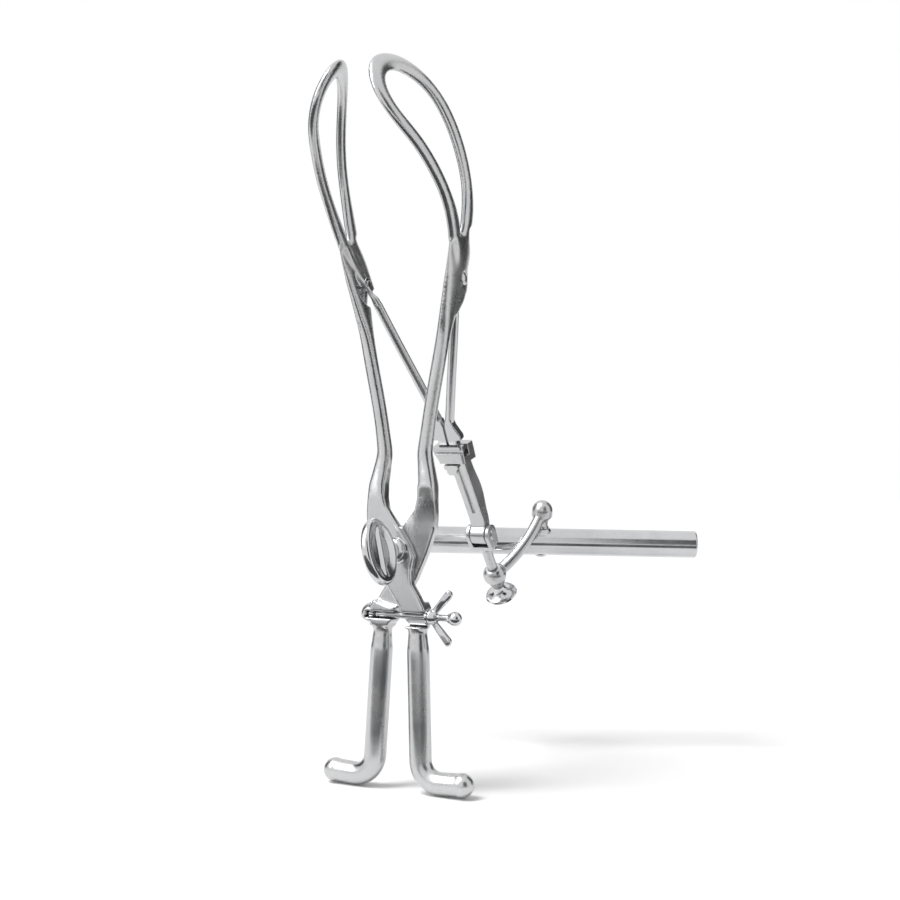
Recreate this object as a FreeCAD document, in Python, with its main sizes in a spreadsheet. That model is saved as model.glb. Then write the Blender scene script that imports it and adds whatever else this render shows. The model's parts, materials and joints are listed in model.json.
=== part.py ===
"""Obstetric forceps with an axis-traction handle, as separate pieces in one frame.

The origin is on the axis of the lock screw, in the flat back face of the lock.
+Z runs from the lock towards the blades, +Y towards the back and +X to the right.
"""

import FreeCAD, Part
import Sketcher

import math
import os

from FreeCAD import Placement, Rotation, Vector

# Driving dimensions: alias, value in millimetres or degrees, what it is
SIZES = [
    ("leaf_thickness", 5.5, "thickness of each half of the lock"),
    ("lap_gap", 0.1, "gap between the two lock leaves"),
    ("lap_radius", 31.0, "radius of the half-lap round the lock screw"),
    ("running_gap", 0.05, "radial clearance of a pin in its hole"),
    ("face_gap", 0.3, "gap between faces that move past each other"),
    ("leaf_rounding", 1.2, "rounding of the leaf's edges"),
    ("lock_bore", 8.0, "diameter of the lock screw's journal"),
    ("washer_radius", 7.2, "radius of the lock washer"),
    ("washer_thickness", 1.8, "thickness of the lock washer"),
    ("collar_radius", 6.0, "radius of the lock screw's collar"),
    ("collar_height", 3.2, "height of the lock screw's collar"),
    ("plate_height", 36.0, "height of the oval thumb plate"),
    ("plate_depth", 31.0, "depth of the oval thumb plate along the screw"),
    ("plate_thickness", 5.0, "thickness of the thumb plate"),
    ("plate_turn", 13.0, "turn of the thumb plate about the screw"),
    ("shank_width", 7.4, "width of the shank across the forceps"),
    ("shank_depth", 9.0, "depth of the shank from front to back"),
    ("heel_depth", 25.0, "depth of the flat heel under the window"),
    ("heel_height", 165.0, "height of the heel above the lock"),
    ("heel_spread", 34.2, "distance of the heel from the middle plane"),
    ("heel_forward", 4.0, "how far the heel lies in front of the lap plane"),
    ("blade_length", 100.0, "length of the blade's rib loop"),
    ("blade_width", 37.6, "width of the rib loop, centre to centre"),
    ("pelvic_tilt", 30.0, "forward tilt of the blades"),
    ("cephalic_radius", 135.0, "radius of the blade's side curve"),
    ("cephalic_peak", 26.0, "where along the blade the side curve is widest"),
    ("cephalic_rise", 2.0, "how far the side curve bulges beyond the heel"),
    ("blade_lean", 0.093, "sideways lean of the blade's face"),
    ("rib_width", 8.0, "width of a blade rib"),
    ("tip_rib_width", 10.4, "width of the rib at the tip"),
    ("heel_rib_width", 12.0, "width of a rib where it leaves the heel"),
    ("rib_thickness", 5.0, "thickness of a blade rib"),
    ("handle_diameter", 12.4, "diameter of the handle"),
    ("neck_diameter", 10.4, "diameter of the handle's neck"),
    ("neck_top", 41.0, "how far the neck starts below the lock"),
    ("neck_offset", 10.7, "distance of the neck from the middle plane"),
    ("handle_lean", 2.6, "outward lean of the handle"),
    ("grip_length", 71.4, "length of the straight handle below the neck"),
    ("hook_radius", 12.0, "centre-line radius of the finger hook"),
    ("hook_length", 12.6, "straight length of the finger hook"),
    ("hook_diameter", 13.2, "diameter of the finger hook"),
    ("pivot_height", 147.6, "height of the rod pins above the lock"),
    ("pivot_back", 4.0, "how far the rod pins lie behind the lap plane"),
    ("pivot_seat", 29.6, "distance of the rod's seat from the middle plane"),
    ("pivot_wall", 3.0, "thickness of the heel between rod and pin head"),
    ("pivot_recess", 12.5, "radius of the recess for the rod's eye"),
    ("pin_diameter", 3.6, "diameter of the rod pins"),
    ("pin_head_radius", 3.5, "radius of the rod pins' round heads"),
    ("pin_head_height", 1.6, "height of the rod pins' round heads"),
    ("rod_tilt", 31.0, "backward swing of the traction rods"),
    ("rod_diameter", 5.4, "diameter of the traction rods"),
    ("rod_length", 88.0, "distance from the rod pin to the foot"),
    ("rod_spacing", 6.4, "distance between the rods above their feet"),
    ("eye_radius", 4.6, "radius of the rod's eye"),
    ("eye_thickness", 4.0, "thickness of the rod's eye"),
    ("foot_thickness", 5.0, "thickness of the rods' feet"),
    ("foot_shoulder", 9.2, "reach of the foot's shoulder from the middle plane"),
    ("foot_hook", 7.9, "reach of the foot's hook inside the block"),
    ("foot_gap", 1.0, "gap between the two feet"),
    ("block_width", 19.4, "width of the coupling block"),
    ("block_front", 5.6, "reach of the block in front of the rods"),
    ("block_back", 11.0, "reach of the block behind the rods"),
    ("block_top", 100.0, "distance from the rod pins to the block's top"),
    ("block_height", 13.6, "height of the coupling block"),
    ("lip_height", 3.4, "height of the block's lip over the feet"),
    ("chamber_height", 5.2, "height of the chamber for the feet"),
    ("foot_play", 0.8, "play of the free foot in the block"),
    ("catch_width", 9.0, "width of the catch's thumb piece"),
    ("catch_height", 6.4, "height of the catch's thumb piece"),
    ("catch_depth", 4.2, "depth of the catch's thumb piece"),
    ("catch_bolt", 2.8, "diameter of the catch's bolt"),
    ("shaft_tilt", 40.0, "backward tilt of the traction shaft"),
    ("hub_back", 96.7, "how far the shaft's hinge lies behind the lock"),
    ("hub_height", 6.3, "height of the shaft's hinge above the lock"),
    ("shaft_length", 57.5, "length from the hinge to the coupling block"),
    ("shaft_width", 9.4, "width of the traction shaft"),
    ("shaft_depth", 8.4, "depth of the traction shaft"),
    ("shaft_bow", 1.6, "backward bow of the traction shaft"),
    ("groove_width", 1.8, "width of the shaft's groove"),
    ("groove_depth", 1.4, "depth of the shaft's groove"),
    ("eye_width", 9.6, "width of the hinge eye on the shaft"),
    ("hinge_radius", 6.2, "radius of the hinge's eye and ears"),
    ("ear_thickness", 2.5, "thickness of the fork's ears"),
    ("hinge_pin_diameter", 4.0, "diameter of the hinge pin"),
    ("stem_diameter", 6.4, "diameter of the stem under the fork"),
    ("spindle_diameter", 5.0, "diameter of the swivel spindle"),
    ("hub_reach", 34.4, "distance from the hinge to the swivel hub's centre"),
    ("swivel_radius", 7.3, "radius of the swivel hub"),
    ("swivel_top", 6.2, "distance from the hub's centre to its top face"),
    ("swivel_tail", 9.0, "distance from the hub's centre to its lower end"),
    ("button_radius", 10.2, "radius of the thumb button"),
    ("button_height", 9.6, "height of the thumb button"),
    ("arm_turn", 22.0, "turn of the handle arm about the stem"),
    ("arm_reach", 52.2, "distance of the arm's boss from the stem's axis"),
    ("arm_rise", 12.9, "height of the arm's boss above the hub's centre"),
    ("arm_bend", 5.0, "how far the handle arm bends below a straight line"),
    ("arm_bow", 3.2, "how far the handle arm bows away from the crossbar"),
    ("arm_diameter", 7.4, "diameter of the handle arm"),
    ("boss_radius", 6.7, "radius of the arm's boss"),
    ("post_radius", 4.0, "radius of the neck under the boss"),
    ("post_length", 11.6, "length of the post from the boss's centre"),
    ("rivet_diameter", 5.0, "diameter of the crossbar rivet"),
    ("rivet_head_radius", 5.0, "radius of the rivet's dome"),
    ("rivet_head_height", 2.4, "height of the rivet's dome"),
    ("crossbar_turn", 26.3, "turn of the crossbar about the vertical"),
    ("crossbar_radius", 8.7, "radius of the crossbar"),
    ("crossbar_length", 201.0, "length of the crossbar"),
    ("crossbar_rounding", 1.4, "rounding of the crossbar's ends"),
    ("saddle_radius", 6.4, "radius of the saddle washer"),
    ("saddle_rim", 1.2, "thickness of the saddle washer above the crossbar"),
    ("screw_height", 35.5, "how far the compression screw lies below the lock"),
    ("screw_diameter", 3.8, "diameter of the compression screw"),
    ("screw_pin_offset", 17.6, "distance of the screw's pin from the middle plane"),
    ("screw_pin_diameter", 3.0, "diameter of the screw's pin"),
    ("screw_eye_radius", 4.5, "radius of the screw's eye"),
    ("ball_boss_radius", 6.3, "radius of the ball boss on the left handle"),
    ("screw_reach", 30.4, "distance of the screw's end from the middle plane"),
    ("notch_drop", 5.5, "how far the notch reaches below the screw"),
    ("nut_seat", 16.6, "distance of the nut's seat from the middle plane"),
    ("thrust_radius", 4.6, "radius of the thrust washer"),
    ("thrust_thickness", 1.0, "thickness of the thrust washer"),
    ("nut_length", 4.6, "length of the wing nut's hub"),
    ("nut_radius", 4.3, "radius of the wing nut's hub"),
    ("wing_span", 30.0, "span of the wing nut"),
    ("wing_sweep", 7.0, "how far the wings lean outward"),
    ("wing_width", 4.8, "width of a wing"),
    ("wing_thickness", 3.0, "thickness of a wing"),
    ("stop_radius", 3.9, "radius of the stop ball"),
]

doc = FreeCAD.newDocument("Forceps")
sheet = doc.addObject("Spreadsheet::Sheet", "Sizes")


class Size:
    """A number together with the spreadsheet formula that gives it."""

    def __init__(self, number, formula):
        self.number = number
        self.formula = formula

    def __add__(self, other):
        other = as_size(other)
        return Size(self.number + other.number, f"({self.formula} + {other.formula})")

    def __sub__(self, other):
        other = as_size(other)
        return Size(self.number - other.number, f"({self.formula} - {other.formula})")

    def __mul__(self, other):
        other = as_size(other)
        return Size(self.number * other.number, f"({self.formula} * {other.formula})")

    def __truediv__(self, other):
        other = as_size(other)
        return Size(self.number / other.number, f"({self.formula} / {other.formula})")

    def __neg__(self):
        return Size(-self.number, f"(-1 * {self.formula})")

    def __radd__(self, other):
        return as_size(other) + self

    def __rsub__(self, other):
        return as_size(other) - self

    def __rmul__(self, other):
        return as_size(other) * self


def as_size(value):
    return value if isinstance(value, Size) else Size(value, f"({value})")


def fill_sheet():
    """Write every driving dimension into the sheet and return them by name."""
    sizes = {}
    for row, (alias, number, meaning) in enumerate(SIZES, start=1):
        sheet.set(f"A{row}", meaning)
        sheet.set(f"B{row}", str(number))
        sheet.setAlias(f"B{row}", alias)
        sizes[alias] = Size(number, f"Sizes.{alias}")
    doc.recompute()
    return sizes


S = fill_sheet()


def mm(alias):
    """The plain number of one driving dimension."""
    return S[alias].number


# Values that several pieces share
LAP = -S["leaf_thickness"]
LEAF_FRONT = -S["leaf_thickness"] * 2
FIT_RADIUS = S["lock_bore"] / 2 + S["running_gap"]
PIVOT_Y = LAP + S["pivot_back"]
EYE_CENTRE = S["pivot_seat"] - S["face_gap"] - S["eye_thickness"] / 2
ROD_RADIUS = S["rod_diameter"] / 2
BLOCK_BOTTOM = S["block_top"] + S["block_height"]


# Helpers for bodies, sketches and features


def new_body(label):
    body = doc.addObject("PartDesign::Body", label)
    body.Label = label
    return body


def plane_of(body, role):
    return next(f for f in body.Origin.OriginFeatures if f.Role == role)


def new_sketch(body, name, role, lift=0):
    """A sketch on one of the body's origin planes, lifted along its normal."""
    sketch = body.newObject("Sketcher::SketchObject", name)
    sketch.AttachmentSupport = (plane_of(body, role), "")
    sketch.MapMode = "FlatFace"
    if isinstance(lift, Size):
        sketch.AttachmentOffset = Placement(Vector(0, 0, lift.number), Rotation())
        sketch.setExpression("AttachmentOffset.Base.z", lift.formula)
    return sketch


def arc_between(start, end, radius):
    """The minor arc from start to end, drawn anticlockwise round its centre.

    A positive radius bulges to the right of the way, a negative one to the left.
    """
    chord = end - start
    left = Vector(-chord.y, chord.x, 0).normalize()
    rise = math.sqrt(radius * radius - chord.Length * chord.Length / 4)
    centre = (start + end) * 0.5 + left * math.copysign(rise, radius)
    first, last = (start, end) if radius > 0 else (end, start)
    begin = math.atan2(first.y - centre.y, first.x - centre.x)
    finish = math.atan2(last.y - centre.y, last.x - centre.x)
    if finish < begin:
        finish += 2 * math.pi
    circle = Part.Circle(centre, Vector(0, 0, 1), abs(radius))
    return Part.ArcOfCircle(circle, begin, finish)


def dome(reach, rise):
    """Radius of the sphere whose cap has the given base radius and height."""
    return (reach * reach + rise * rise) / (rise * 2)


def limit_point(sketch, edge, point, u, v):
    """Fix one point of an edge by its distances from the sketch's origin."""
    for kind, value in (("DistanceX", u), ("DistanceY", v)):
        if value is None:
            continue
        limit = Sketcher.Constraint(kind, -1, 1, edge, point, value.number)
        index = sketch.addConstraint(limit)
        if "Sizes" in value.formula:
            sketch.setExpression(f"Constraints[{index}]", value.formula)


def limit_radius(sketch, edge, radius):
    """Fix the radius of an arc or a circle."""
    index = sketch.addConstraint(Sketcher.Constraint("Radius", edge, radius.number))
    if "Sizes" in radius.formula:
        sketch.setExpression(f"Constraints[{index}]", radius.formula)


def draw(sketch, corners):
    """Draw a closed outline of corners (u, v) or (u, v, radius of the next edge)."""
    corners = [tuple(as_size(value) for value in corner) for corner in corners]
    points = [Vector(corner[0].number, corner[1].number, 0) for corner in corners]
    ends = []
    for i, corner in enumerate(corners):
        start = points[i]
        end = points[(i + 1) % len(corners)]
        if len(corner) == 3:
            arc = arc_between(start, end, corner[2].number)
            edge = sketch.addGeometry(arc, False)
            ends.append((edge, 1, 2) if corner[2].number > 0 else (edge, 2, 1))
        else:
            edge = sketch.addGeometry(Part.LineSegment(start, end), False)
            ends.append((edge, 1, 2))
    for i, corner in enumerate(corners):
        edge, begin, _ = ends[i]
        before, _, finish = ends[i - 1]
        sketch.addConstraint(Sketcher.Constraint("Coincident", before, finish, edge, begin))
        limit_point(sketch, edge, begin, corner[0], corner[1])
        if len(corner) == 3:
            limit_radius(sketch, edge, corner[2] if corner[2].number > 0 else -corner[2])
    return sketch


def draw_circle(sketch, u, v, radius):
    """Draw one circle whose centre and radius follow the sheet."""
    u, v, radius = as_size(u), as_size(v), as_size(radius)
    centre = Vector(u.number, v.number, 0)
    edge = sketch.addGeometry(Part.Circle(centre, Vector(0, 0, 1), radius.number), False)
    limit_point(sketch, edge, 3, u, v)
    limit_radius(sketch, edge, radius)
    return sketch


def pad(body, name, sketch, length, both_ways=False, backward=False):
    feature = body.newObject("PartDesign::Pad", name)
    feature.Profile = sketch
    length = as_size(length)
    feature.Length = length.number
    feature.setExpression("Length", length.formula)
    feature.Midplane = both_ways
    feature.Reversed = backward
    return feature


def pocket(body, name, sketch, length, both_ways=False, backward=False):
    feature = body.newObject("PartDesign::Pocket", name)
    feature.Profile = sketch
    length = as_size(length)
    feature.Length = length.number
    feature.setExpression("Length", length.formula)
    feature.Midplane = both_ways
    feature.Reversed = backward
    return feature


def flat_edges(feature):
    """Names of the edges that lie in the front or back face of a padded outline."""
    edges = enumerate(feature.Shape.Edges, start=1)
    return [f"Edge{i}" for i, edge in edges if edge.BoundBox.YLength < 0.01]


def revolve(body, name, sketch):
    """Turn a profile once round the body's own Z axis."""
    feature = body.newObject("PartDesign::Revolution", name)
    feature.Profile = sketch
    feature.ReferenceAxis = (sketch, ["V_Axis"])
    feature.Angle = 360
    return feature


def turned_body(label, corners):
    """A body turned from one profile of (radius, height) corners."""
    body = new_body(label)
    revolve(body, label + "_turning", draw(new_sketch(body, label + "_profile", "XZ_Plane"), corners))
    return body


def place(thing, base, rotation=None):
    """Put a body at a base of three sizes, bound to the sheet, and turn it."""
    base = [as_size(value) for value in base]
    spin = rotation or Rotation()
    thing.Placement = Placement(Vector(*[value.number for value in base]), spin)
    for axis, value in zip("xyz", base):
        if "Sizes" in value.formula:
            thing.setExpression(f"Placement.Base.{axis}", value.formula)
    return thing


def frame_rotation(x_axis, z_axis):
    """The rotation whose local X and Z axes point along the two given vectors."""
    return Rotation(x_axis, z_axis.cross(x_axis), z_axis, "ZXY")


def box(name, low, high):
    """A box between two corners given as sizes."""
    thing = doc.addObject("Part::Box", name)
    low = [as_size(value) for value in low]
    for side, a, b in zip(("Length", "Width", "Height"), low, high):
        span = as_size(b) - a
        setattr(thing, side, span.number)
        thing.setExpression(side, span.formula)
    return place(thing, low)


def rod_between(name, start, end, radius):
    """A cylinder between two points."""
    thing = doc.addObject("Part::Cylinder", name)
    radius = as_size(radius)
    thing.Radius = radius.number
    thing.setExpression("Radius", radius.formula)
    thing.Height = (end - start).Length
    thing.Placement = Placement(start, Rotation(Vector(0, 0, 1), end - start))
    return thing


def fuse(label, pieces):
    thing = doc.addObject("Part::MultiFuse", label)
    thing.Shapes = pieces
    thing.Refine = True
    return thing


def cut(label, base, tools):
    """The base without the tools, as one object."""
    tool = tools[0] if len(tools) == 1 else fuse(label + "_tools", tools)
    thing = doc.addObject("Part::Cut", label)
    thing.Base = base
    thing.Tool = tool
    thing.Refine = True
    return thing


def group(name, pieces):
    """Several objects taken together, so that they can be placed as one."""
    thing = doc.addObject("Part::Compound", name)
    thing.Links = pieces
    return thing


def shape_object(name, shape):
    thing = doc.addObject("Part::Feature", name)
    thing.Shape = shape
    return thing


def oval(centre, along, wide_axis, width, thickness):
    """An oval section round a centre, square to the way along."""
    along = along.normalize()
    wide = (wide_axis - along * wide_axis.dot(along)).normalize()
    thin = along.cross(wide)
    ellipse = Part.Ellipse(centre + wide * (width / 2), centre + thin * (thickness / 2), centre)
    return Part.Wire([ellipse.toShape()])


# The branches: blade, shank, lock leaf, handle and finger hook

# Points of the rib loop from the back of the heel round the tip to the front of the heel,
# as shares of the blade's length and of its width
BLADE_LOOP = [
    (0.03, 0.146),
    (0.26, 0.378),
    (0.45, 0.460),
    (0.63, 0.505),
    (0.80, 0.468),
    (0.92, 0.306),
    (0.986, 0.066),
    (0.99, -0.213),
    (0.935, -0.465),
    (0.845, -0.572),
    (0.745, -0.548),
    (0.625, -0.439),
    (0.46, -0.309),
    (0.26, -0.186),
    (0.02, -0.145),
]
RIB_SECTIONS = 22

# Stations of the shank from the lock to the heel: height, distance from the middle plane,
# how far behind the lap plane, depth and width of the oval section
SHANK_STATIONS = [
    (24.0, 15.2, 0.5, 11.0, 10.6),
    (34.0, 15.3, 1.0, 10.6, 9.8),
    (44.0, 13.7, 1.2, 9.8, 8.8),
    (52.0, 12.5, 1.2, 9.4, 8.4),
    (62.0, 13.5, 1.0, mm("shank_depth"), 7.8),
    (80.0, 16.4, 0.2, mm("shank_depth"), mm("shank_width")),
    (102.0, 20.8, -1.0, mm("shank_depth"), mm("shank_width")),
    (116.0, 23.5, -1.5, 10.4, 7.0),
    (128.0, 26.0, -1.8, 15.5, 6.4),
    (140.0, 28.7, -2.0, 20.5, 5.9),
    (152.0, 31.5, -2.8, 24.0, 5.5),
]


def blade_point(along, across):
    """A point of the blade's middle surface of the branch whose blade lies at +X."""
    tilt = math.radians(mm("pelvic_tilt"))
    radius = mm("cephalic_radius")
    offset = along - mm("cephalic_peak")
    fall = radius - math.sqrt(radius * radius - offset * offset)
    side = mm("heel_spread") + mm("cephalic_rise") - fall + mm("blade_lean") * across
    back = -mm("heel_forward") - along * math.sin(tilt) + across * math.cos(tilt)
    height = mm("heel_height") + along * math.cos(tilt) + across * math.sin(tilt)
    return Vector(side, LAP.number + back, height)


def rib_width_at(along):
    """Rib width: wide where it leaves the heel and again round the tip."""
    near_heel = max(0.0, 1 - along / 30.0)
    near_tip = max(0.0, 1 - (mm("blade_length") - along) / 20.0)
    extra_heel = (mm("heel_rib_width") - mm("rib_width")) * near_heel
    extra_tip = (mm("tip_rib_width") - mm("rib_width")) * near_tip
    return mm("rib_width") + extra_heel + extra_tip


def blade_loop():
    """The rib loop round the window, as one loft through oval sections."""
    flat = Part.BSplineCurve()
    flat.interpolate([Vector(a * mm("blade_length"), c * mm("blade_width"), 0) for a, c in BLADE_LOOP])
    step = 0.01
    sections = []
    for i in range(RIB_SECTIONS + 1):
        at = flat.FirstParameter + (flat.LastParameter - flat.FirstParameter) * i / RIB_SECTIONS
        here = flat.value(at)
        way = flat.tangent(at)[0]
        centre = blade_point(here.x, here.y)
        ahead = blade_point(here.x + way.x * step, here.y + way.y * step)
        beside = blade_point(here.x - way.y * step, here.y + way.x * step)
        along = ahead - centre
        sections.append(oval(centre, along, beside - centre, rib_width_at(here.x), mm("rib_thickness")))
    return Part.makeLoft(sections, True)


def shank():
    """The shank and the flat heel, lofted from the lock to the window's point."""
    heel = blade_point(4.0, 0.0)
    stations = [(Vector(x, LAP.number + y, z), deep, wide) for z, x, y, deep, wide in SHANK_STATIONS]
    stations.append((heel, mm("heel_depth") - 3.0, mm("rib_thickness")))
    sections = []
    for i, (centre, deep, wide) in enumerate(stations):
        before = stations[max(i - 1, 0)][0]
        after = stations[min(i + 1, len(stations) - 1)][0]
        along = after - before if i else Vector(0, 0, 1)
        sections.append(oval(centre, along, Vector(0, 1, 0), deep, wide))
    return Part.makeLoft(sections, True)


def lock_leaf(label, side, stepped):
    """The crossing plate between shank and handle, at full thickness.

    The upper arm lies on the given side and the lower arm on the other.
    """
    body = new_body(label)
    sketch = new_sketch(body, label + "_outline", "XZ_Plane")
    foot = 1.4 if stepped else 3.4
    right_side = [
        (side * 9.8, 30.0),
        (side * 8.2, 24.5),
        (side * 4.1, 18.6),
        (side * -0.4, 12.6),
        (side * -6.6, 3.6),
        (side * -9.6, -3.0),
        (side * -8.2, -10.0),
        (side * -8.6, -17.4),
        (side * -13.0, -24.0),
        (side * -S["nut_seat"], -30.6),
        (side * -S["nut_seat"], -S["neck_top"] - 1.2),
    ]
    left_side = [
        (side * -foot, -S["neck_top"] - 1.2),
        (side * -1.4, -31.0),
        (side * 5.4, -21.6),
        (side * 9.0, -15.5),
        (side * 15.0, -1.7),
        (side * 19.6, 12.0),
        (side * 20.4, 21.0),
        (side * 20.0, 30.0),
    ]
    corners = [(as_size(u), as_size(v)) for u, v in right_side + left_side]
    draw(sketch, corners)
    thick = pad(body, label + "_pad", sketch, S["leaf_thickness"] * 2, both_ways=True)
    doc.recompute()
    fillet = body.newObject("PartDesign::Fillet", label + "_rounding")
    fillet.Base = (thick, flat_edges(thick))
    fillet.Radius = mm("leaf_rounding")
    fillet.setExpression("Radius", "Sizes.leaf_rounding")
    place(body, (0, LAP, 0))
    return body


def handle(label, side):
    """Neck, shoulder, round grip and hook; it lies on the given side."""
    body = new_body(label)
    neck, grip, hook = S["neck_diameter"] / 2, S["handle_diameter"] / 2, S["hook_diameter"] / 2
    profile = new_sketch(body, label + "_profile", "XZ_Plane")
    grip_end = -S["grip_length"]
    draw(
        profile,
        [
            (0, 4.0),
            (neck, 4.0),
            (neck, -4.0),
            (neck + 0.3, -5.6),
            (grip - 0.3, -10.6),
            (grip, -12.2),
            (grip, grip_end),
            (0, grip_end),
        ],
    )
    revolve(body, label + "_turning", profile)
    start = new_sketch(body, label + "_section", "XY_Plane", grip_end)
    draw_circle(start, 0, 0, grip)
    path = new_sketch(body, label + "_path", "XZ_Plane")
    bend = S["hook_radius"]
    begin = Vector(0, grip_end.number, 0)
    low = begin + Vector(side * bend.number, -bend.number, 0)
    tip = low + Vector(side * mm("hook_length"), 0, 0)
    turn = path.addGeometry(arc_between(begin, low, side * bend.number), False)
    run = path.addGeometry(Part.LineSegment(low, tip), False)
    path.addConstraint(Sketcher.Constraint("Coincident", turn, 2 if side > 0 else 1, run, 1))
    limit_point(path, turn, 1 if side > 0 else 2, as_size(0), grip_end)
    limit_point(path, turn, 3, side * bend, grip_end)
    limit_point(path, run, 1, side * bend, None)
    limit_point(path, run, 2, side * (bend + S["hook_length"]), grip_end - bend)
    hook_pipe = body.newObject("PartDesign::AdditivePipe", label + "_hook")
    hook_pipe.Profile = start
    hook_pipe.Spine = (path, [])
    place(body, (side * S["neck_offset"], LAP, -S["neck_top"]))
    body.Placement.Rotation = Rotation(Vector(0, 1, 0), -side * mm("handle_lean"))
    end = doc.addObject("Part::Sphere", label + "_end")
    end.Radius = hook.number
    end.setExpression("Radius", hook.formula)
    end.Placement = Placement(body.Placement.multVec(Vector(tip.x, 0, tip.y)), Rotation())
    return [body, end]


def branch(label, side):
    """One branch: the blade lies on the given side, the handle on the other."""
    blade = blade_loop()
    stem = shank()
    if side < 0:
        blade = blade.mirror(Vector(0, 0, 0), Vector(1, 0, 0))
        stem = stem.mirror(Vector(0, 0, 0), Vector(1, 0, 0))
    front = side < 0
    pieces = [
        shape_object(label + "_blade", blade),
        shape_object(label + "_shank", stem),
        lock_leaf(label + "_leaf", side, stepped=front),
    ]
    pieces += handle(label + "_handle", -side)
    if not front:
        knob = doc.addObject("Part::Sphere", label + "_knob")
        knob.Radius = mm("ball_boss_radius")
        knob.setExpression("Radius", "Sizes.ball_boss_radius")
        pieces.append(place(knob, (-S["screw_pin_offset"], LAP, -S["screw_height"])))
    whole = fuse(label + "_whole", pieces)

    # The half-lap leaves the front half on one branch and the back half on the other
    lap_face = (LAP - S["lap_gap"] / 2) if front else (LAP + S["lap_gap"] / 2)
    away = 30.0 if front else -30.0
    lap = rod_between(
        label + "_lap",
        Vector(0, lap_face.number, 0),
        Vector(0, lap_face.number + away, 0),
        S["lap_radius"],
    )
    bore = rod_between(label + "_bore", Vector(0, -40, 0), Vector(0, 40, 0), FIT_RADIUS)

    # Recess for the rod's eye, hole for its pin and flat seat for the pin's head
    at = Vector(0, PIVOT_Y.number, mm("pivot_height"))
    seat, wall = mm("pivot_seat"), mm("pivot_wall")

    def across(distance):
        return at + Vector(side * distance, 0, 0)

    recess = rod_between(label + "_recess", across(seat - 14), across(seat), S["pivot_recess"])
    pin_hole = rod_between(
        label + "_pin_hole", across(seat - 4), across(seat + 12), S["pin_diameter"] / 2 + S["running_gap"]
    )
    head_seat = rod_between(
        label + "_head_seat", across(seat + wall), across(seat + 12), S["pin_head_radius"] + 0.2
    )

    # Slot for the compression screw, open to the front
    slot_back = LAP + S["screw_diameter"] / 2 + S["face_gap"]
    half = S["screw_diameter"] / 2 + S["running_gap"] * 2
    if front:
        slot = box(
            label + "_slot",
            (-2.0, -30.0, -S["screw_height"] - S["notch_drop"]),
            (30.0, slot_back, -S["screw_height"] + half),
        )
        tools = [lap, bore, recess, pin_hole, head_seat, slot]
    else:
        eye_back = LAP + S["screw_eye_radius"] + S["face_gap"]
        slot = box(
            label + "_slot",
            (-30.0, -30.0, -S["screw_height"] - half),
            (2.0, slot_back, -S["screw_height"] + half),
        )
        eye_slot = box(
            label + "_eye_slot",
            (-30.0, -30.0, -S["screw_height"] - half),
            (
                -S["screw_pin_offset"] + S["screw_eye_radius"] + S["face_gap"],
                eye_back,
                -S["screw_height"] + half,
            ),
        )
        down = Vector(-mm("screw_pin_offset"), LAP.number, -mm("screw_height") - 12)
        screw_pin_hole = rod_between(
            label + "_screw_pin_hole",
            down,
            down + Vector(0, 0, 24),
            S["screw_pin_diameter"] / 2 + S["running_gap"],
        )
        tools = [lap, bore, recess, pin_hole, head_seat, slot, eye_slot, screw_pin_hole]
    return cut(label, whole, tools)


# The lock screw and its washer


def build_lock_screw():
    """Journal and collar, with an oval thumb plate that stands on the collar."""
    journal = S["lock_bore"] / 2
    under = -LEAF_FRONT + S["face_gap"] + S["washer_thickness"]
    top = under + S["collar_height"]
    pivot = turned_body(
        "lock_screw_pivot",
        [
            (0, 0),
            (journal, 0),
            (journal, under),
            (S["collar_radius"], under),
            (S["collar_radius"], top - 1.0),
            (S["collar_radius"] - 1.6, top),
            (0, top),
        ],
    )
    plate = new_body("lock_screw_plate")
    outline = new_sketch(plate, "lock_screw_outline", "XZ_Plane")
    deep = mm("plate_depth")
    centre = Vector(0, top.number - 1.0 + deep / 2, 0)
    wide = centre + Vector(mm("plate_height") / 2, 0, 0)
    edge = outline.addGeometry(Part.Ellipse(wide, centre + Vector(0, deep / 2, 0), centre), False)
    outline.addConstraint(Sketcher.Constraint("Block", edge))
    thick = pad(plate, "lock_screw_plate_pad", outline, S["plate_thickness"], both_ways=True)
    doc.recompute()
    fillet = plate.newObject("PartDesign::Fillet", "lock_screw_rim")
    fillet.Base = (thick, flat_edges(thick))
    fillet.Radius = mm("plate_thickness") * 0.42
    fillet.setExpression("Radius", "Sizes.plate_thickness * 0.42")
    turn = math.radians(mm("plate_turn"))
    upward = Vector(-math.sin(turn), 0, math.cos(turn))
    return place(fuse("lock_screw", [pivot, plate]), (0, 0, 0), frame_rotation(upward, Vector(0, -1, 0)))


def build_lock_washer():
    bottom = -LEAF_FRONT + S["face_gap"] / 2
    top = bottom + S["washer_thickness"]
    body = turned_body(
        "lock_washer",
        [
            (FIT_RADIUS, bottom),
            (S["washer_radius"], bottom),
            (S["washer_radius"], top - 0.6),
            (S["washer_radius"] - 0.6, top),
            (FIT_RADIUS, top),
        ],
    )
    return place(body, (0, 0, 0), frame_rotation(Vector(1, 0, 0), Vector(0, -1, 0)))


# The traction rods, their pins and the coupling block


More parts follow.
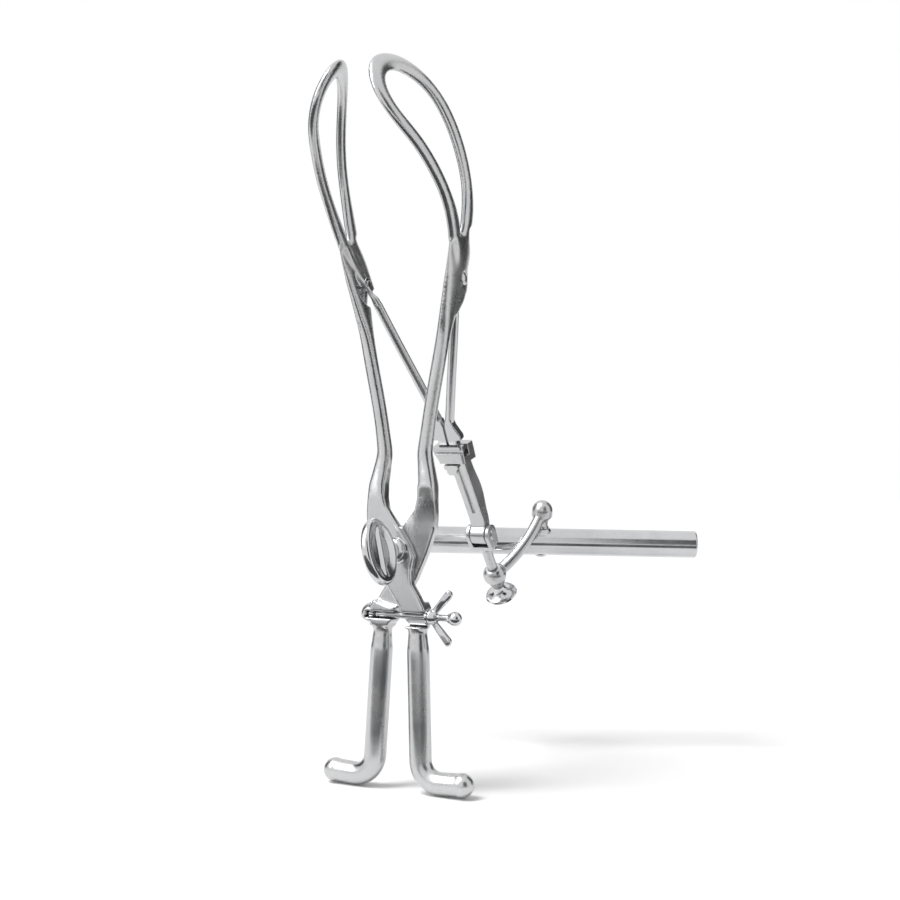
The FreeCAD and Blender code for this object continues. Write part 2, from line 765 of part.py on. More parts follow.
def build_rod_pin(label, side):
    """A pin with a round head outside and a riveted end inside."""
    shank_radius = S["pin_diameter"] / 2
    head_low = S["pivot_seat"] + S["pivot_wall"]
    inner = S["pivot_seat"] - S["eye_thickness"] - S["face_gap"] * 2
    body = turned_body(
        label,
        [
            (0, inner - 1.0),
            (shank_radius, inner - 1.0),
            (shank_radius + 0.5, inner - 0.5),
            (shank_radius + 0.5, inner),
            (shank_radius, inner),
            (shank_radius, head_low),
            (S["pin_head_radius"], head_low),
            (S["pin_head_radius"], head_low + 0.5, dome(S["pin_head_radius"], S["pin_head_height"] - 0.5)),
            (0, head_low + S["pin_head_height"]),
        ],
    )
    return place(body, (0, PIVOT_Y, S["pivot_height"]), frame_rotation(Vector(0, 1, 0), Vector(side, 0, 0)))


def rod_frame(thing):
    """Put a piece that is drawn in the rods' frame: origin between the pins, Z up the rods."""
    return place(thing, (0, PIVOT_Y, S["pivot_height"]), Rotation(Vector(1, 0, 0), mm("rod_tilt")))


def build_rod(label, side):
    """Eye, round rod and flared foot with the hook that the block holds."""
    eye = rod_between(
        label + "_eye",
        Vector(side * (EYE_CENTRE.number - mm("eye_thickness") / 2), 0, 0),
        Vector(side * (EYE_CENTRE.number + mm("eye_thickness") / 2), 0, 0),
        S["eye_radius"],
    )
    lean = Vector(side * (EYE_CENTRE.number - mm("rod_spacing") / 2), 0, mm("rod_length"))
    bar = turned_body(
        label + "_bar",
        [
            (0, -lean.Length - 2.0),
            (1.4, -lean.Length - 2.0),
            (ROD_RADIUS, -lean.Length + 2.0),
            (ROD_RADIUS, -S["eye_radius"] - 9),
            (1.4, -3.3),
            (0, -3.3),
        ],
    )
    bar.Placement = Placement(Vector(side * EYE_CENTRE.number, 0, 0), Rotation(Vector(0, 0, 1), lean))

    plate = new_body(label + "_foot")
    foot = new_sketch(plate, label + "_foot_outline", "XZ_Plane")
    inner = S["rod_spacing"] / 2
    near = S["foot_gap"] / 2
    outer = inner + ROD_RADIUS
    shoulder = -S["block_top"] + S["foot_play"] + 0.4
    lip = -S["block_top"] - S["lip_height"] - S["face_gap"]
    sole = -S["block_top"] - S["lip_height"] - S["chamber_height"] + S["foot_play"] + 0.3
    draw(
        foot,
        [
            (side * (near + 0.8), -S["rod_length"] + 2.4),
            (side * near, -S["rod_length"] - 2),
            (side * near, sole),
            (side * S["foot_hook"], sole),
            (side * S["foot_hook"], lip),
            (side * outer, lip),
            (side * outer, shoulder),
            (side * S["foot_shoulder"], shoulder),
            (side * S["foot_shoulder"], shoulder + 2.2),
            (side * (outer + 0.2), -S["rod_length"] - 2),
            (side * (outer - 0.6), -S["rod_length"] + 2.4),
        ],
    )
    pad(plate, label + "_foot_pad", foot, S["foot_thickness"], both_ways=True)
    whole = fuse(label + "_whole", [eye, bar, plate])
    hole = rod_between(
        label + "_pin_hole",
        Vector(side * (EYE_CENTRE.number - 6), 0, 0),
        Vector(side * (EYE_CENTRE.number + 6), 0, 0),
        S["pin_diameter"] / 2 + S["running_gap"],
    )
    return rod_frame(cut(label, whole, [hole]))


def build_block():
    """The coupling block: a lipped channel for the feet, open to the right, and a mortise."""
    half = S["block_width"] / 2
    solid = box(
        "block_solid",
        (-half, -S["block_front"], -BLOCK_BOTTOM),
        (half, S["block_back"], -S["block_top"]),
    )
    doc.recompute()
    upright = [i for i, e in enumerate(solid.Shape.Edges, start=1) if e.BoundBox.ZLength > 5]
    rounded = doc.addObject("Part::Fillet", "block_rounded")
    rounded.Base = solid
    rounded.Edges = [(i, 1.6, 1.6) for i in upright]
    slot_front = -S["foot_thickness"] / 2 - S["foot_play"]
    slot_back = S["foot_thickness"] / 2 + S["face_gap"]
    lip_edge = -(S["rod_spacing"] / 2 + ROD_RADIUS + S["face_gap"])
    roof = -S["block_top"] - S["lip_height"]
    floor = roof - S["chamber_height"]
    neck = box(
        "block_neck_slot",
        (lip_edge, slot_front, roof - 1),
        (half + 5, slot_back, -S["block_top"] + 5),
    )
    chamber = box(
        "block_chamber",
        (-S["foot_hook"] - S["face_gap"], slot_front, floor),
        (half + 5, slot_back, roof),
    )
    bolt_hole = rod_between(
        "block_bolt_hole",
        Vector(0, CATCH_BACK.number, -BLOCK_BOTTOM.number - 5),
        Vector(0, CATCH_BACK.number, floor.number + 1),
        S["catch_bolt"] / 2 + S["running_gap"],
    )
    socket = mortise("block_mortise", S["running_gap"])
    block = cut("coupling_block", rounded, [neck, chamber, bolt_hole, socket])
    return rod_frame(block)


CATCH_BACK = Size(-1.9, "(-1.9)")
TENON_LOW = 3.0


def mortise(name, gap):
    """The tenon of the shaft, or the hole for it, in the rods' frame."""
    gap = as_size(gap)
    roof = -S["block_top"] - S["lip_height"] - S["chamber_height"]
    return box(
        name,
        (-3.4 - gap, TENON_LOW - gap, -BLOCK_BOTTOM - 2),
        (3.4 + gap, TENON_LOW + 6.0 + gap, roof - 0.9 + gap),
    )


def build_catch():
    """Thumb piece under the block with its bolt."""
    body = new_body("catch_slide")
    half = S["catch_width"] / 2
    top = -BLOCK_BOTTOM - S["face_gap"]
    low = top - S["catch_height"]
    sketch = new_sketch(body, "catch_slide_outline", "XZ_Plane", S["block_front"] - S["catch_depth"])
    draw(
        sketch,
        [
            (-half, top),
            (-half, top - 2.2),
            (-half + 1.2, top - 3.0),
            (-half + 1.2, low + 1.6),
            (-half + 2.4, low),
            (half - 2.4, low),
            (half - 1.2, low + 1.6),
            (half - 1.2, top - 3.0),
            (half, top - 2.2),
            (half, top),
        ],
    )
    pad(body, "catch_slide_pad", sketch, S["catch_depth"])
    bolt = new_sketch(body, "catch_slide_bolt", "XY_Plane", top - 1.0)
    draw_circle(bolt, 0, CATCH_BACK, S["catch_bolt"] / 2)
    reach = S["block_height"] - S["lip_height"] - S["chamber_height"] + S["foot_play"] + 1.0
    pad(body, "catch_slide_bolt_pad", bolt, reach)
    return rod_frame(body)


# The traction shaft, its hinge and the swivel


def shaft_frame(thing):
    """Put a piece that is drawn in the shaft's frame: origin in the hinge, Z up the shaft."""
    return place(thing, (0, S["hub_back"], S["hub_height"]), Rotation(Vector(1, 0, 0), mm("shaft_tilt")))


def build_shaft():
    """Slightly bowed flat-sided shaft with a groove, an eye below and a tenon above."""
    bar = new_body("shaft_bar")
    half = S["shaft_depth"] / 2
    length = S["shaft_length"] + 6
    back = S["shaft_depth"]
    side_view = new_sketch(bar, "shaft_side", "YZ_Plane")
    draw(
        side_view,
        [
            (-half, -1.0),
            (half, -1.0, 24.0),
            (back, 14.0, (S["shaft_length"] * S["shaft_length"]) / (S["shaft_bow"] * 8)),
            (back, length),
            (0, length),
            (0, 16.0, -24.0),
        ],
    )
    pad(bar, "shaft_pad", side_view, S["shaft_width"], both_ways=True)

    body = new_body("shaft_eye")
    eye = new_sketch(body, "shaft_eye_outline", "YZ_Plane")
    draw_circle(eye, 0, 0, S["hinge_radius"])
    pad(body, "shaft_eye_pad", eye, S["eye_width"], both_ways=True)
    slot = new_body("shaft_groove")
    groove = new_sketch(slot, "shaft_groove_outline", "XZ_Plane", -S["groove_depth"])
    wide = S["groove_width"] / 2
    draw(
        groove,
        [
            (-wide, 17.0, wide * 1.2),
            (wide, 17.0),
            (wide, S["shaft_length"] - 8, wide * 1.2),
            (-wide, S["shaft_length"] - 8),
        ],
    )
    pad(slot, "shaft_groove_pad", groove, 6.0)
    hole = rod_between(
        "shaft_eye_hole",
        Vector(-20, 0, 0),
        Vector(20, 0, 0),
        S["hinge_pin_diameter"] / 2 + S["running_gap"],
    )
    bare = shaft_frame(cut("shaft_bare", fuse("shaft_whole", [bar, body]), [slot, hole]))

    above = box(
        "shaft_end_cut",
        (-20.0, -20.0, -BLOCK_BOTTOM),
        (20.0, 25.0, -S["block_top"] + 30),
    )
    trimmed = cut("shaft_trimmed", bare, [rod_frame(group("shaft_end", [above]))])
    tenon = rod_frame(group("shaft_tenon", [mortise("shaft_tenon_box", 0)]))
    return fuse("traction_shaft", [trimmed, tenon])


def build_hinge_pin():
    half = S["eye_width"] / 2 + S["face_gap"] + S["ear_thickness"]
    radius = S["hinge_pin_diameter"] / 2
    head = radius + 1.4
    body = turned_body(
        "shaft_hinge_pin",
        [
            (0, -half - 0.9),
            (head - 0.7, -half - 0.9),
            (head, -half - 0.2),
            (head, -half),
            (radius, -half),
            (radius, half),
            (head, half),
            (head, half + 0.2),
            (head - 0.7, half + 0.9),
            (0, half + 0.9),
        ],
    )
    turn = frame_rotation(Vector(0, 1, 0), Vector(1, 0, 0))
    return place(body, (0, S["hub_back"], S["hub_height"]), turn)


def build_stem():
    """Fork round the shaft's eye, stem and spindle."""
    body = new_body("swivel_stem")
    inner = S["eye_width"] / 2 + S["face_gap"]
    outer = inner + S["ear_thickness"]
    bridge_top = -S["hinge_radius"] - S["face_gap"] * 2
    bridge_low = bridge_top - 2.6
    stem = S["stem_diameter"] / 2
    shoulder = -S["hub_reach"] + S["swivel_top"] + S["face_gap"] / 2
    tip = -S["hub_reach"] - S["swivel_tail"] - S["button_height"] + 3.0
    ears = new_sketch(body, "stem_ears", "YZ_Plane")
    draw_circle(ears, 0, 0, S["hinge_radius"])
    pad(body, "stem_ears_pad", ears, outer * 2, both_ways=True)
    cheek = new_sketch(body, "stem_cheek", "YZ_Plane")
    wide = S["hinge_radius"]
    draw(
        cheek,
        [
            (-wide, 0),
            (-wide + 1.2, bridge_low),
            (wide - 1.2, bridge_low),
            (wide, 0),
        ],
    )
    pad(body, "stem_cheek_pad", cheek, outer * 2, both_ways=True)
    gap = new_sketch(body, "stem_gap", "XZ_Plane")
    draw(gap, [(-inner, bridge_top), (inner, bridge_top), (inner, 12.0), (-inner, 12.0)])
    pocket(body, "stem_gap_cut", gap, 40.0, both_ways=True)
    hole = new_sketch(body, "stem_hole", "YZ_Plane")
    draw_circle(hole, 0, 0, S["hinge_pin_diameter"] / 2 + S["running_gap"])
    pocket(body, "stem_bore", hole, outer * 2 + 6, both_ways=True)
    profile = new_sketch(body, "stem_profile", "XZ_Plane")
    spindle = S["spindle_diameter"] / 2
    draw(
        profile,
        [
            (0, bridge_top - 0.4),
            (stem + 2.0, bridge_low + 0.6),
            (stem + 0.4, bridge_low - 3.0),
            (stem, bridge_low - 6.0),
            (stem, shoulder),
            (spindle, shoulder),
            (spindle, tip),
            (0, tip),
        ],
    )
    revolve(body, "stem_turning", profile)
    return shaft_frame(body)


def build_button():
    """The thumb button on the end of the spindle."""
    top = -S["hub_reach"] - S["swivel_tail"] - S["face_gap"] / 2
    bore = S["spindle_diameter"] / 2 + S["running_gap"]
    low = top - S["button_height"]
    body = turned_body(
        "stem_button",
        [
            (bore, top),
            (S["swivel_tail"] * 0.4, top),
            (S["swivel_tail"] * 0.4 + 0.3, top - 1.6, 6.5),
            (S["button_radius"] - 0.6, top - 6.0),
            (S["button_radius"], top - 6.8),
            (S["button_radius"] - 0.8, top - 7.8, -dome(S["button_radius"] - 0.8, S["button_height"] - 7.8)),
            (0, low),
            (0, -S["hub_reach"] - S["swivel_tail"] - S["button_height"] + 2.9),
            (bore, -S["hub_reach"] - S["swivel_tail"] - S["button_height"] + 2.9),
        ],
    )
    return shaft_frame(body)


# The handle arm and the crossbar

SHAFT_ANGLE = math.radians(mm("shaft_tilt"))
DOWN_SHAFT = Vector(0, math.sin(SHAFT_ANGLE), -math.cos(SHAFT_ANGLE))
BEHIND_SHAFT = Vector(0, math.cos(SHAFT_ANGLE), math.sin(SHAFT_ANGLE))
ARM_ANGLE = math.radians(mm("arm_turn"))
ARM_WAY = BEHIND_SHAFT * math.cos(ARM_ANGLE) + Vector(1, 0, 0) * math.sin(ARM_ANGLE)
BAR_ANGLE = math.radians(mm("crossbar_turn"))
BAR_WAY = Vector(math.cos(BAR_ANGLE), math.sin(BAR_ANGLE), 0)
AHEAD_OF_BAR = Vector(-math.sin(BAR_ANGLE), math.cos(BAR_ANGLE), 0)
HUB = Vector(0, mm("hub_back"), mm("hub_height"))
SWIVEL = HUB + DOWN_SHAFT * mm("hub_reach")
BOSS = SWIVEL - DOWN_SHAFT * mm("arm_rise") + ARM_WAY * mm("arm_reach")
POST_WAY = (DOWN_SHAFT * ARM_WAY.dot(BAR_WAY) - ARM_WAY * DOWN_SHAFT.dot(BAR_WAY)).normalize()
BAR_CENTRE = BOSS + POST_WAY * (mm("post_length") + mm("saddle_rim") + mm("crossbar_radius") + 0.1)
ARM_SPIN = frame_rotation(ARM_WAY, -DOWN_SHAFT)
POST_SPIN = frame_rotation(BAR_WAY, POST_WAY)


def build_arm():
    """Pear-shaped hub, curved round arm and the boss with its neck."""
    hub = new_body("arm_hub")
    radius, top, tail = S["swivel_radius"], S["swivel_top"], S["swivel_tail"]
    bore = S["spindle_diameter"] / 2 + S["running_gap"]
    rim = math.sqrt(mm("swivel_radius") ** 2 - mm("swivel_top") ** 2) + 0.9
    profile = new_sketch(hub, "arm_hub_profile", "XZ_Plane")
    draw(
        profile,
        [
            (bore, top),
            (rim, top, -radius),
            (radius * 0.86, -radius * 0.45),
            (tail * 0.42, -tail + 1.0),
            (tail * 0.42, -tail),
            (bore, -tail),
        ],
    )
    revolve(hub, "arm_hub_turning", profile)
    hub.Placement = Placement(SWIVEL, ARM_SPIN)

    begin = SWIVEL + ARM_WAY * 4.4
    chord = BOSS - begin
    sag = (ARM_WAY + DOWN_SHAFT) * (mm("arm_bend") * 0.7) - AHEAD_OF_BAR * mm("arm_bow")
    middle = begin + chord * 0.5 + sag
    curve = Part.Arc(begin, middle, BOSS)
    ring = Part.Circle(begin, curve.tangent(curve.FirstParameter)[0], mm("arm_diameter") / 2)
    pipe = Part.Wire([curve.toShape()]).makePipeShell([Part.Wire([ring.toShape()])], True, True)
    arm = shape_object("arm_curve", pipe)

    boss = new_body("arm_boss")
    rivet = S["rivet_diameter"] / 2 + S["running_gap"]
    wide, post = S["boss_radius"], S["post_radius"]
    neck = new_sketch(boss, "arm_boss_profile", "XZ_Plane")
    draw(
        neck,
        [
            (0, -wide, wide),
            (wide, 0),
            (wide, 3.6),
            (wide - 1.0, 5.0),
            (post + 0.4, 6.4),
            (post, 8.4),
            (post, S["post_length"] - 1.0),
            (post + 0.8, S["post_length"]),
            (rivet, S["post_length"]),
            (rivet, -1.0),
            (0, -1.0),
        ],
    )
    revolve(boss, "arm_boss_turning", neck)
    boss.Placement = Placement(BOSS, POST_SPIN)
    whole = fuse("arm_whole", [hub, arm, boss])
    spindle = rod_between(
        "arm_spindle_bore",
        SWIVEL - DOWN_SHAFT * 30,
        SWIVEL + DOWN_SHAFT * 30,
        S["spindle_diameter"] / 2 + S["running_gap"],
    )
    post_bore = rod_between(
        "arm_rivet_bore",
        BOSS - POST_WAY,
        BOSS + POST_WAY * (mm("post_length") + 2),
        S["rivet_diameter"] / 2 + S["running_gap"],
    )
    return cut("handle_arm", whole, [spindle, post_bore])


def build_crossbar():
    """The pull handle: a round bar with a cross hole and a seat for the rivet's dome."""
    body = new_body("crossbar_solid")
    half, radius, edge = S["crossbar_length"] / 2, S["crossbar_radius"], S["crossbar_rounding"]
    profile = new_sketch(body, "crossbar_profile", "XZ_Plane")
    draw(
        profile,
        [
            (0, -half),
            (radius - edge, -half, edge),
            (radius, -half + edge),
            (radius, half - edge, edge),
            (radius - edge, half),
            (0, half),
        ],
    )
    revolve(body, "crossbar_turning", profile)
    body.Placement = Placement(BAR_CENTRE, frame_rotation(POST_WAY, BAR_WAY))
    bore = rod_between(
        "crossbar_bore",
        BAR_CENTRE - POST_WAY * 20,
        BAR_CENTRE + POST_WAY * 20,
        S["rivet_diameter"] / 2 + S["running_gap"],
    )
    seat = rod_between(
        "crossbar_seat",
        BAR_CENTRE + POST_WAY * (radius.number - 1.4),
        BAR_CENTRE + POST_WAY * 20,
        S["rivet_head_radius"] + 0.2,
    )
    return cut("crossbar", body, [bore, seat])


def build_rivet():
    """Post of the crossbar: its end sits in the arm's boss, its dome under the crossbar."""
    top = -0.9
    seat = S["post_length"] + S["saddle_rim"] + S["crossbar_radius"] * 2 + 0.1 - 1.4 + 0.1
    body = turned_body(
        "crossbar_rivet",
        [
            (0, top),
            (S["rivet_diameter"] / 2, top),
            (S["rivet_diameter"] / 2, seat),
            (S["rivet_head_radius"], seat),
            (S["rivet_head_radius"], seat + 0.6, dome(S["rivet_head_radius"], S["rivet_head_height"])),
            (0, seat + 0.6 + S["rivet_head_height"]),
        ],
    )
    body.Placement = Placement(BOSS, POST_SPIN)
    return body


def build_saddle():
    """Washer between the arm's post and the crossbar, hollowed to sit on the bar."""
    rim = S["post_length"] + 0.1
    deep = rim + S["saddle_rim"] + 2.2
    body = turned_body(
        "saddle_blank",
        [
            (S["rivet_diameter"] / 2 + S["running_gap"], rim),
            (S["post_radius"] + 1.0, rim),
            (S["saddle_radius"], rim + 1.4),
            (S["saddle_radius"], deep),
            (S["rivet_diameter"] / 2 + S["running_gap"], deep),
        ],
    )
    body.Placement = Placement(BOSS, POST_SPIN)
    hollow = rod_between(
        "saddle_hollow",
        BAR_CENTRE - BAR_WAY * 20,
        BAR_CENTRE + BAR_WAY * 20,
        S["crossbar_radius"] + 0.02,
    )
    return cut("saddle_washer", body, [hollow])


# The compression screw and its wing nut


def screw_frame(thing):
    """Put a piece that is drawn along the screw: origin in its pin, Z to the right."""
    spin = frame_rotation(Vector(0, 0, 1), Vector(1, 0, 0))
    return place(thing, (-S["screw_pin_offset"], LAP, -S["screw_height"]), spin)


def build_compression_screw():
    """Flat eye and round threaded rod."""
    body = new_body("compression_screw")
    eye = new_sketch(body, "screw_eye", "YZ_Plane")
    draw_circle(eye, 0, 0, S["screw_eye_radius"])
    pad(body, "screw_eye_pad", eye, S["screw_diameter"] - 0.5, both_ways=True)
    rod = new_sketch(body, "screw_rod", "XY_Plane")
    draw_circle(rod, 0, 0, S["screw_diameter"] / 2)
    pad(body, "screw_rod_pad", rod, S["screw_reach"] + S["screw_pin_offset"])
    hole = new_sketch(body, "screw_eye_hole", "YZ_Plane")
    draw_circle(hole, 0, 0, S["screw_pin_diameter"] / 2 + S["running_gap"])
    pocket(body, "screw_eye_bore", hole, S["screw_diameter"] + 4, both_ways=True)
    return screw_frame(body)


def build_compression_pin():
    radius = S["screw_pin_diameter"] / 2
    half = S["ball_boss_radius"] - 0.3
    body = turned_body(
        "compression_pin",
        [
            (0, -half - 0.5),
            (radius - 0.4, -half - 0.5),
            (radius, -half),
            (radius, half),
            (radius - 0.4, half + 0.5),
            (0, half + 0.5),
        ],
    )
    return place(body, (-S["screw_pin_offset"], LAP, -S["screw_height"]))


NUT_BORE = S["screw_diameter"] / 2 + S["running_gap"]
WASHER_LOW = S["nut_seat"] + S["screw_pin_offset"] + 0.1
NUT_LOW = WASHER_LOW + S["thrust_thickness"] + 0.1


def build_thrust_washer():
    body = turned_body(
        "thrust_washer",
        [
            (NUT_BORE, WASHER_LOW),
            (S["thrust_radius"], WASHER_LOW),
            (S["thrust_radius"], WASHER_LOW + S["thrust_thickness"]),
            (NUT_BORE, WASHER_LOW + S["thrust_thickness"]),
        ],
    )
    return screw_frame(body)


def build_wing_nut():
    """Hub and two wings that lean outward."""
    body = new_body("wing_nut")
    top = NUT_LOW + S["nut_length"]
    wings = new_sketch(body, "wing_outline", "XZ_Plane")
    span = S["wing_span"] / 2
    wide = S["wing_width"]
    lean = S["wing_sweep"]
    root = NUT_LOW + 0.8
    tip = wide / 2
    draw(
        wings,
        [
            (0, root),
            (3.0, root),
            (span - 1.4, root + lean + 1.6, tip + 0.1),
            (span - 5.2, root + lean + 4.4),
            (2.2, top),
            (-2.2, top),
            (-span + 5.2, root + lean + 4.4, tip + 0.1),
            (-span + 1.4, root + lean + 1.6),
            (-3.0, root),
        ],
    )
    blade = pad(body, "wing_pad", wings, S["wing_thickness"], both_ways=True)
    doc.recompute()
    fillet = body.newObject("PartDesign::Fillet", "wing_rounding")
    fillet.Base = (blade, flat_edges(blade))
    fillet.Radius = mm("wing_thickness") * 0.4
    fillet.setExpression("Radius", "Sizes.wing_thickness * 0.4")
    hub = new_sketch(body, "nut_hub", "XZ_Plane")
    draw(
        hub,
        [
            (0, NUT_LOW),
            (S["nut_radius"], NUT_LOW),
            (S["nut_radius"], NUT_LOW + 1.2),
            (S["nut_radius"] - 0.9, top - 0.6),
            (S["nut_radius"] - 1.5, top),
            (0, top),
        ],
    )
    revolve(body, "nut_hub_turning", hub)
    hole = new_sketch(body, "nut_hole", "XY_Plane")
    draw_circle(hole, 0, 0, NUT_BORE)
    pocket(body, "nut_bore", hole, 90.0, both_ways=True)
    return screw_frame(body)


def build_stop_ball():
    """Ball on the end of the compression screw, with a short cone towards the nut."""
    end = S["screw_reach"] + S["screw_pin_offset"]
    bore = S["screw_diameter"] / 2 + S["running_gap"]
    centre = end + 2.6
    radius = S["stop_radius"]
    body = turned_body(
        "stop_ball",
        [
            (bore, end - 1.0),
            (bore + 0.7, end - 1.0),
            (radius * 0.8, centre - radius * 0.6, radius),
            (0, centre + radius),
            (0, end + 0.1),
            (bore, end + 0.1),
        ],
    )
    return screw_frame(body)


PIECES = [
    branch("left_branch", -1),
    branch("right_branch", 1),
    build_lock_screw(),
    build_lock_washer(),
    build_rod_pin("left_rod_pin", -1),
    build_rod_pin("right_rod_pin", 1),
    build_rod("left_traction_rod", -1),
    build_rod("right_traction_rod", 1),
    build_block(),
    build_catch(),
    build_shaft(),
    build_hinge_pin(),
    build_stem(),
    build_button(),
    build_arm(),
    build_crossbar(),
    build_rivet(),
    build_saddle(),
    build_compression_screw(),
    build_compression_pin(),
    build_thrust_washer(),
    build_wing_nut(),
    build_stop_ball(),
]

doc.recompute()

failed = [
    (o.Name, o.getStatusString())
    for o in doc.Objects
    if "Invalid" in o.State or "Error" in o.State
]
if failed:
    raise RuntimeError(f"features that failed: {failed}")

os.makedirs("parts", exist_ok=True)
for piece in PIECES:
    shape = piece.Shape
    if shape.isNull() or not shape.isValid() or not shape.Solids:
        raise RuntimeError(f"{piece.Label} has no valid shape")
    print(piece.Label, "solids", len(shape.Solids), "volume", round(shape.Volume, 1))
    shape.exportStep(f"parts/{piece.Label}.step")
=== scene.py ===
import json
import math

import bmesh
import bpy
from mathutils import Matrix, Vector


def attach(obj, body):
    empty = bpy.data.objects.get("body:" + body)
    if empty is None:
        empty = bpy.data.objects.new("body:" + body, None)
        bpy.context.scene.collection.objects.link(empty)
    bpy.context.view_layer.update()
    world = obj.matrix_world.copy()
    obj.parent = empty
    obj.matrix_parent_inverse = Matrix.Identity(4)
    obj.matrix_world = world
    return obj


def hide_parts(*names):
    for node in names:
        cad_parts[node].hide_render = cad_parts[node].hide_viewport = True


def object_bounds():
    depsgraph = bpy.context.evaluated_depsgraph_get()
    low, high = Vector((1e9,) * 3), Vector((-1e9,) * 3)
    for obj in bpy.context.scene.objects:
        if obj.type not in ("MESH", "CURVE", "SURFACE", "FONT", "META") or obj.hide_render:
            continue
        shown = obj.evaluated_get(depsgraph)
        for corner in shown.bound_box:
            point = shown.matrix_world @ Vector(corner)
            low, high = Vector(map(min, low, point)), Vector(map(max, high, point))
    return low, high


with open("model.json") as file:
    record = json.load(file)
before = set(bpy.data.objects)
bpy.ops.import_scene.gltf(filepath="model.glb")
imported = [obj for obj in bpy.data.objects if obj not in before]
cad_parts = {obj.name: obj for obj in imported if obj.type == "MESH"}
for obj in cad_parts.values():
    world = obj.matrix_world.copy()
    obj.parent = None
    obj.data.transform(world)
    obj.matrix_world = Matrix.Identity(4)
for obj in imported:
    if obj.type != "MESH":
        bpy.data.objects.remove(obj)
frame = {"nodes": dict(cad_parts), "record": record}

CAD_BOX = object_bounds()

# Millimetres to metres
MM = 0.001

# Camera, found by fitting the photograph
CAMERA_AZIMUTH = 26.3
CAMERA_ELEVATION = -1.6
CAMERA_ROLL = -1.1
CAMERA_DISTANCE = 707.4 * MM
CAMERA_TARGET = Vector((28.14, -5.5, 54.76)) * MM
FOCAL_SHARE = 1315.8 / 900.0
SENSOR = 36.0

# Floor and light
FLOOR_GAP = 0.4 * MM
FLOOR_HALF = 40.0
FLOOR_COLOUR = 0.9
WORLD_STRENGTH = 0.55
FLAG_COLOUR = 0.02
LOW_FLAG_COLOUR = 0.05
LOW_FLAG_LIFT = 4.0 * MM


def node_kit(material):
    """The node tree of a material and its shader."""
    material.use_nodes = True
    tree = material.node_tree
    shader = tree.nodes["Principled BSDF"]
    return tree, shader


def add(tree, kind, **inputs):
    """A new node with the given values on its sockets."""
    node = tree.nodes.new(kind)
    for name, value in inputs.items():
        node.inputs[name.replace("_", " ")].default_value = value
    return node


def ramp(tree, source, low, high, dark, light):
    """A colour ramp from dark to light between two positions of the source."""
    node = tree.nodes.new("ShaderNodeValToRGB")
    node.color_ramp.elements[0].position = low
    node.color_ramp.elements[1].position = high
    node.color_ramp.elements[0].color = dark
    node.color_ramp.elements[1].color = light
    tree.links.new(source, node.inputs["Fac"])
    return node.outputs["Color"]


def grey(value):
    return (value, value, value, 1.0)


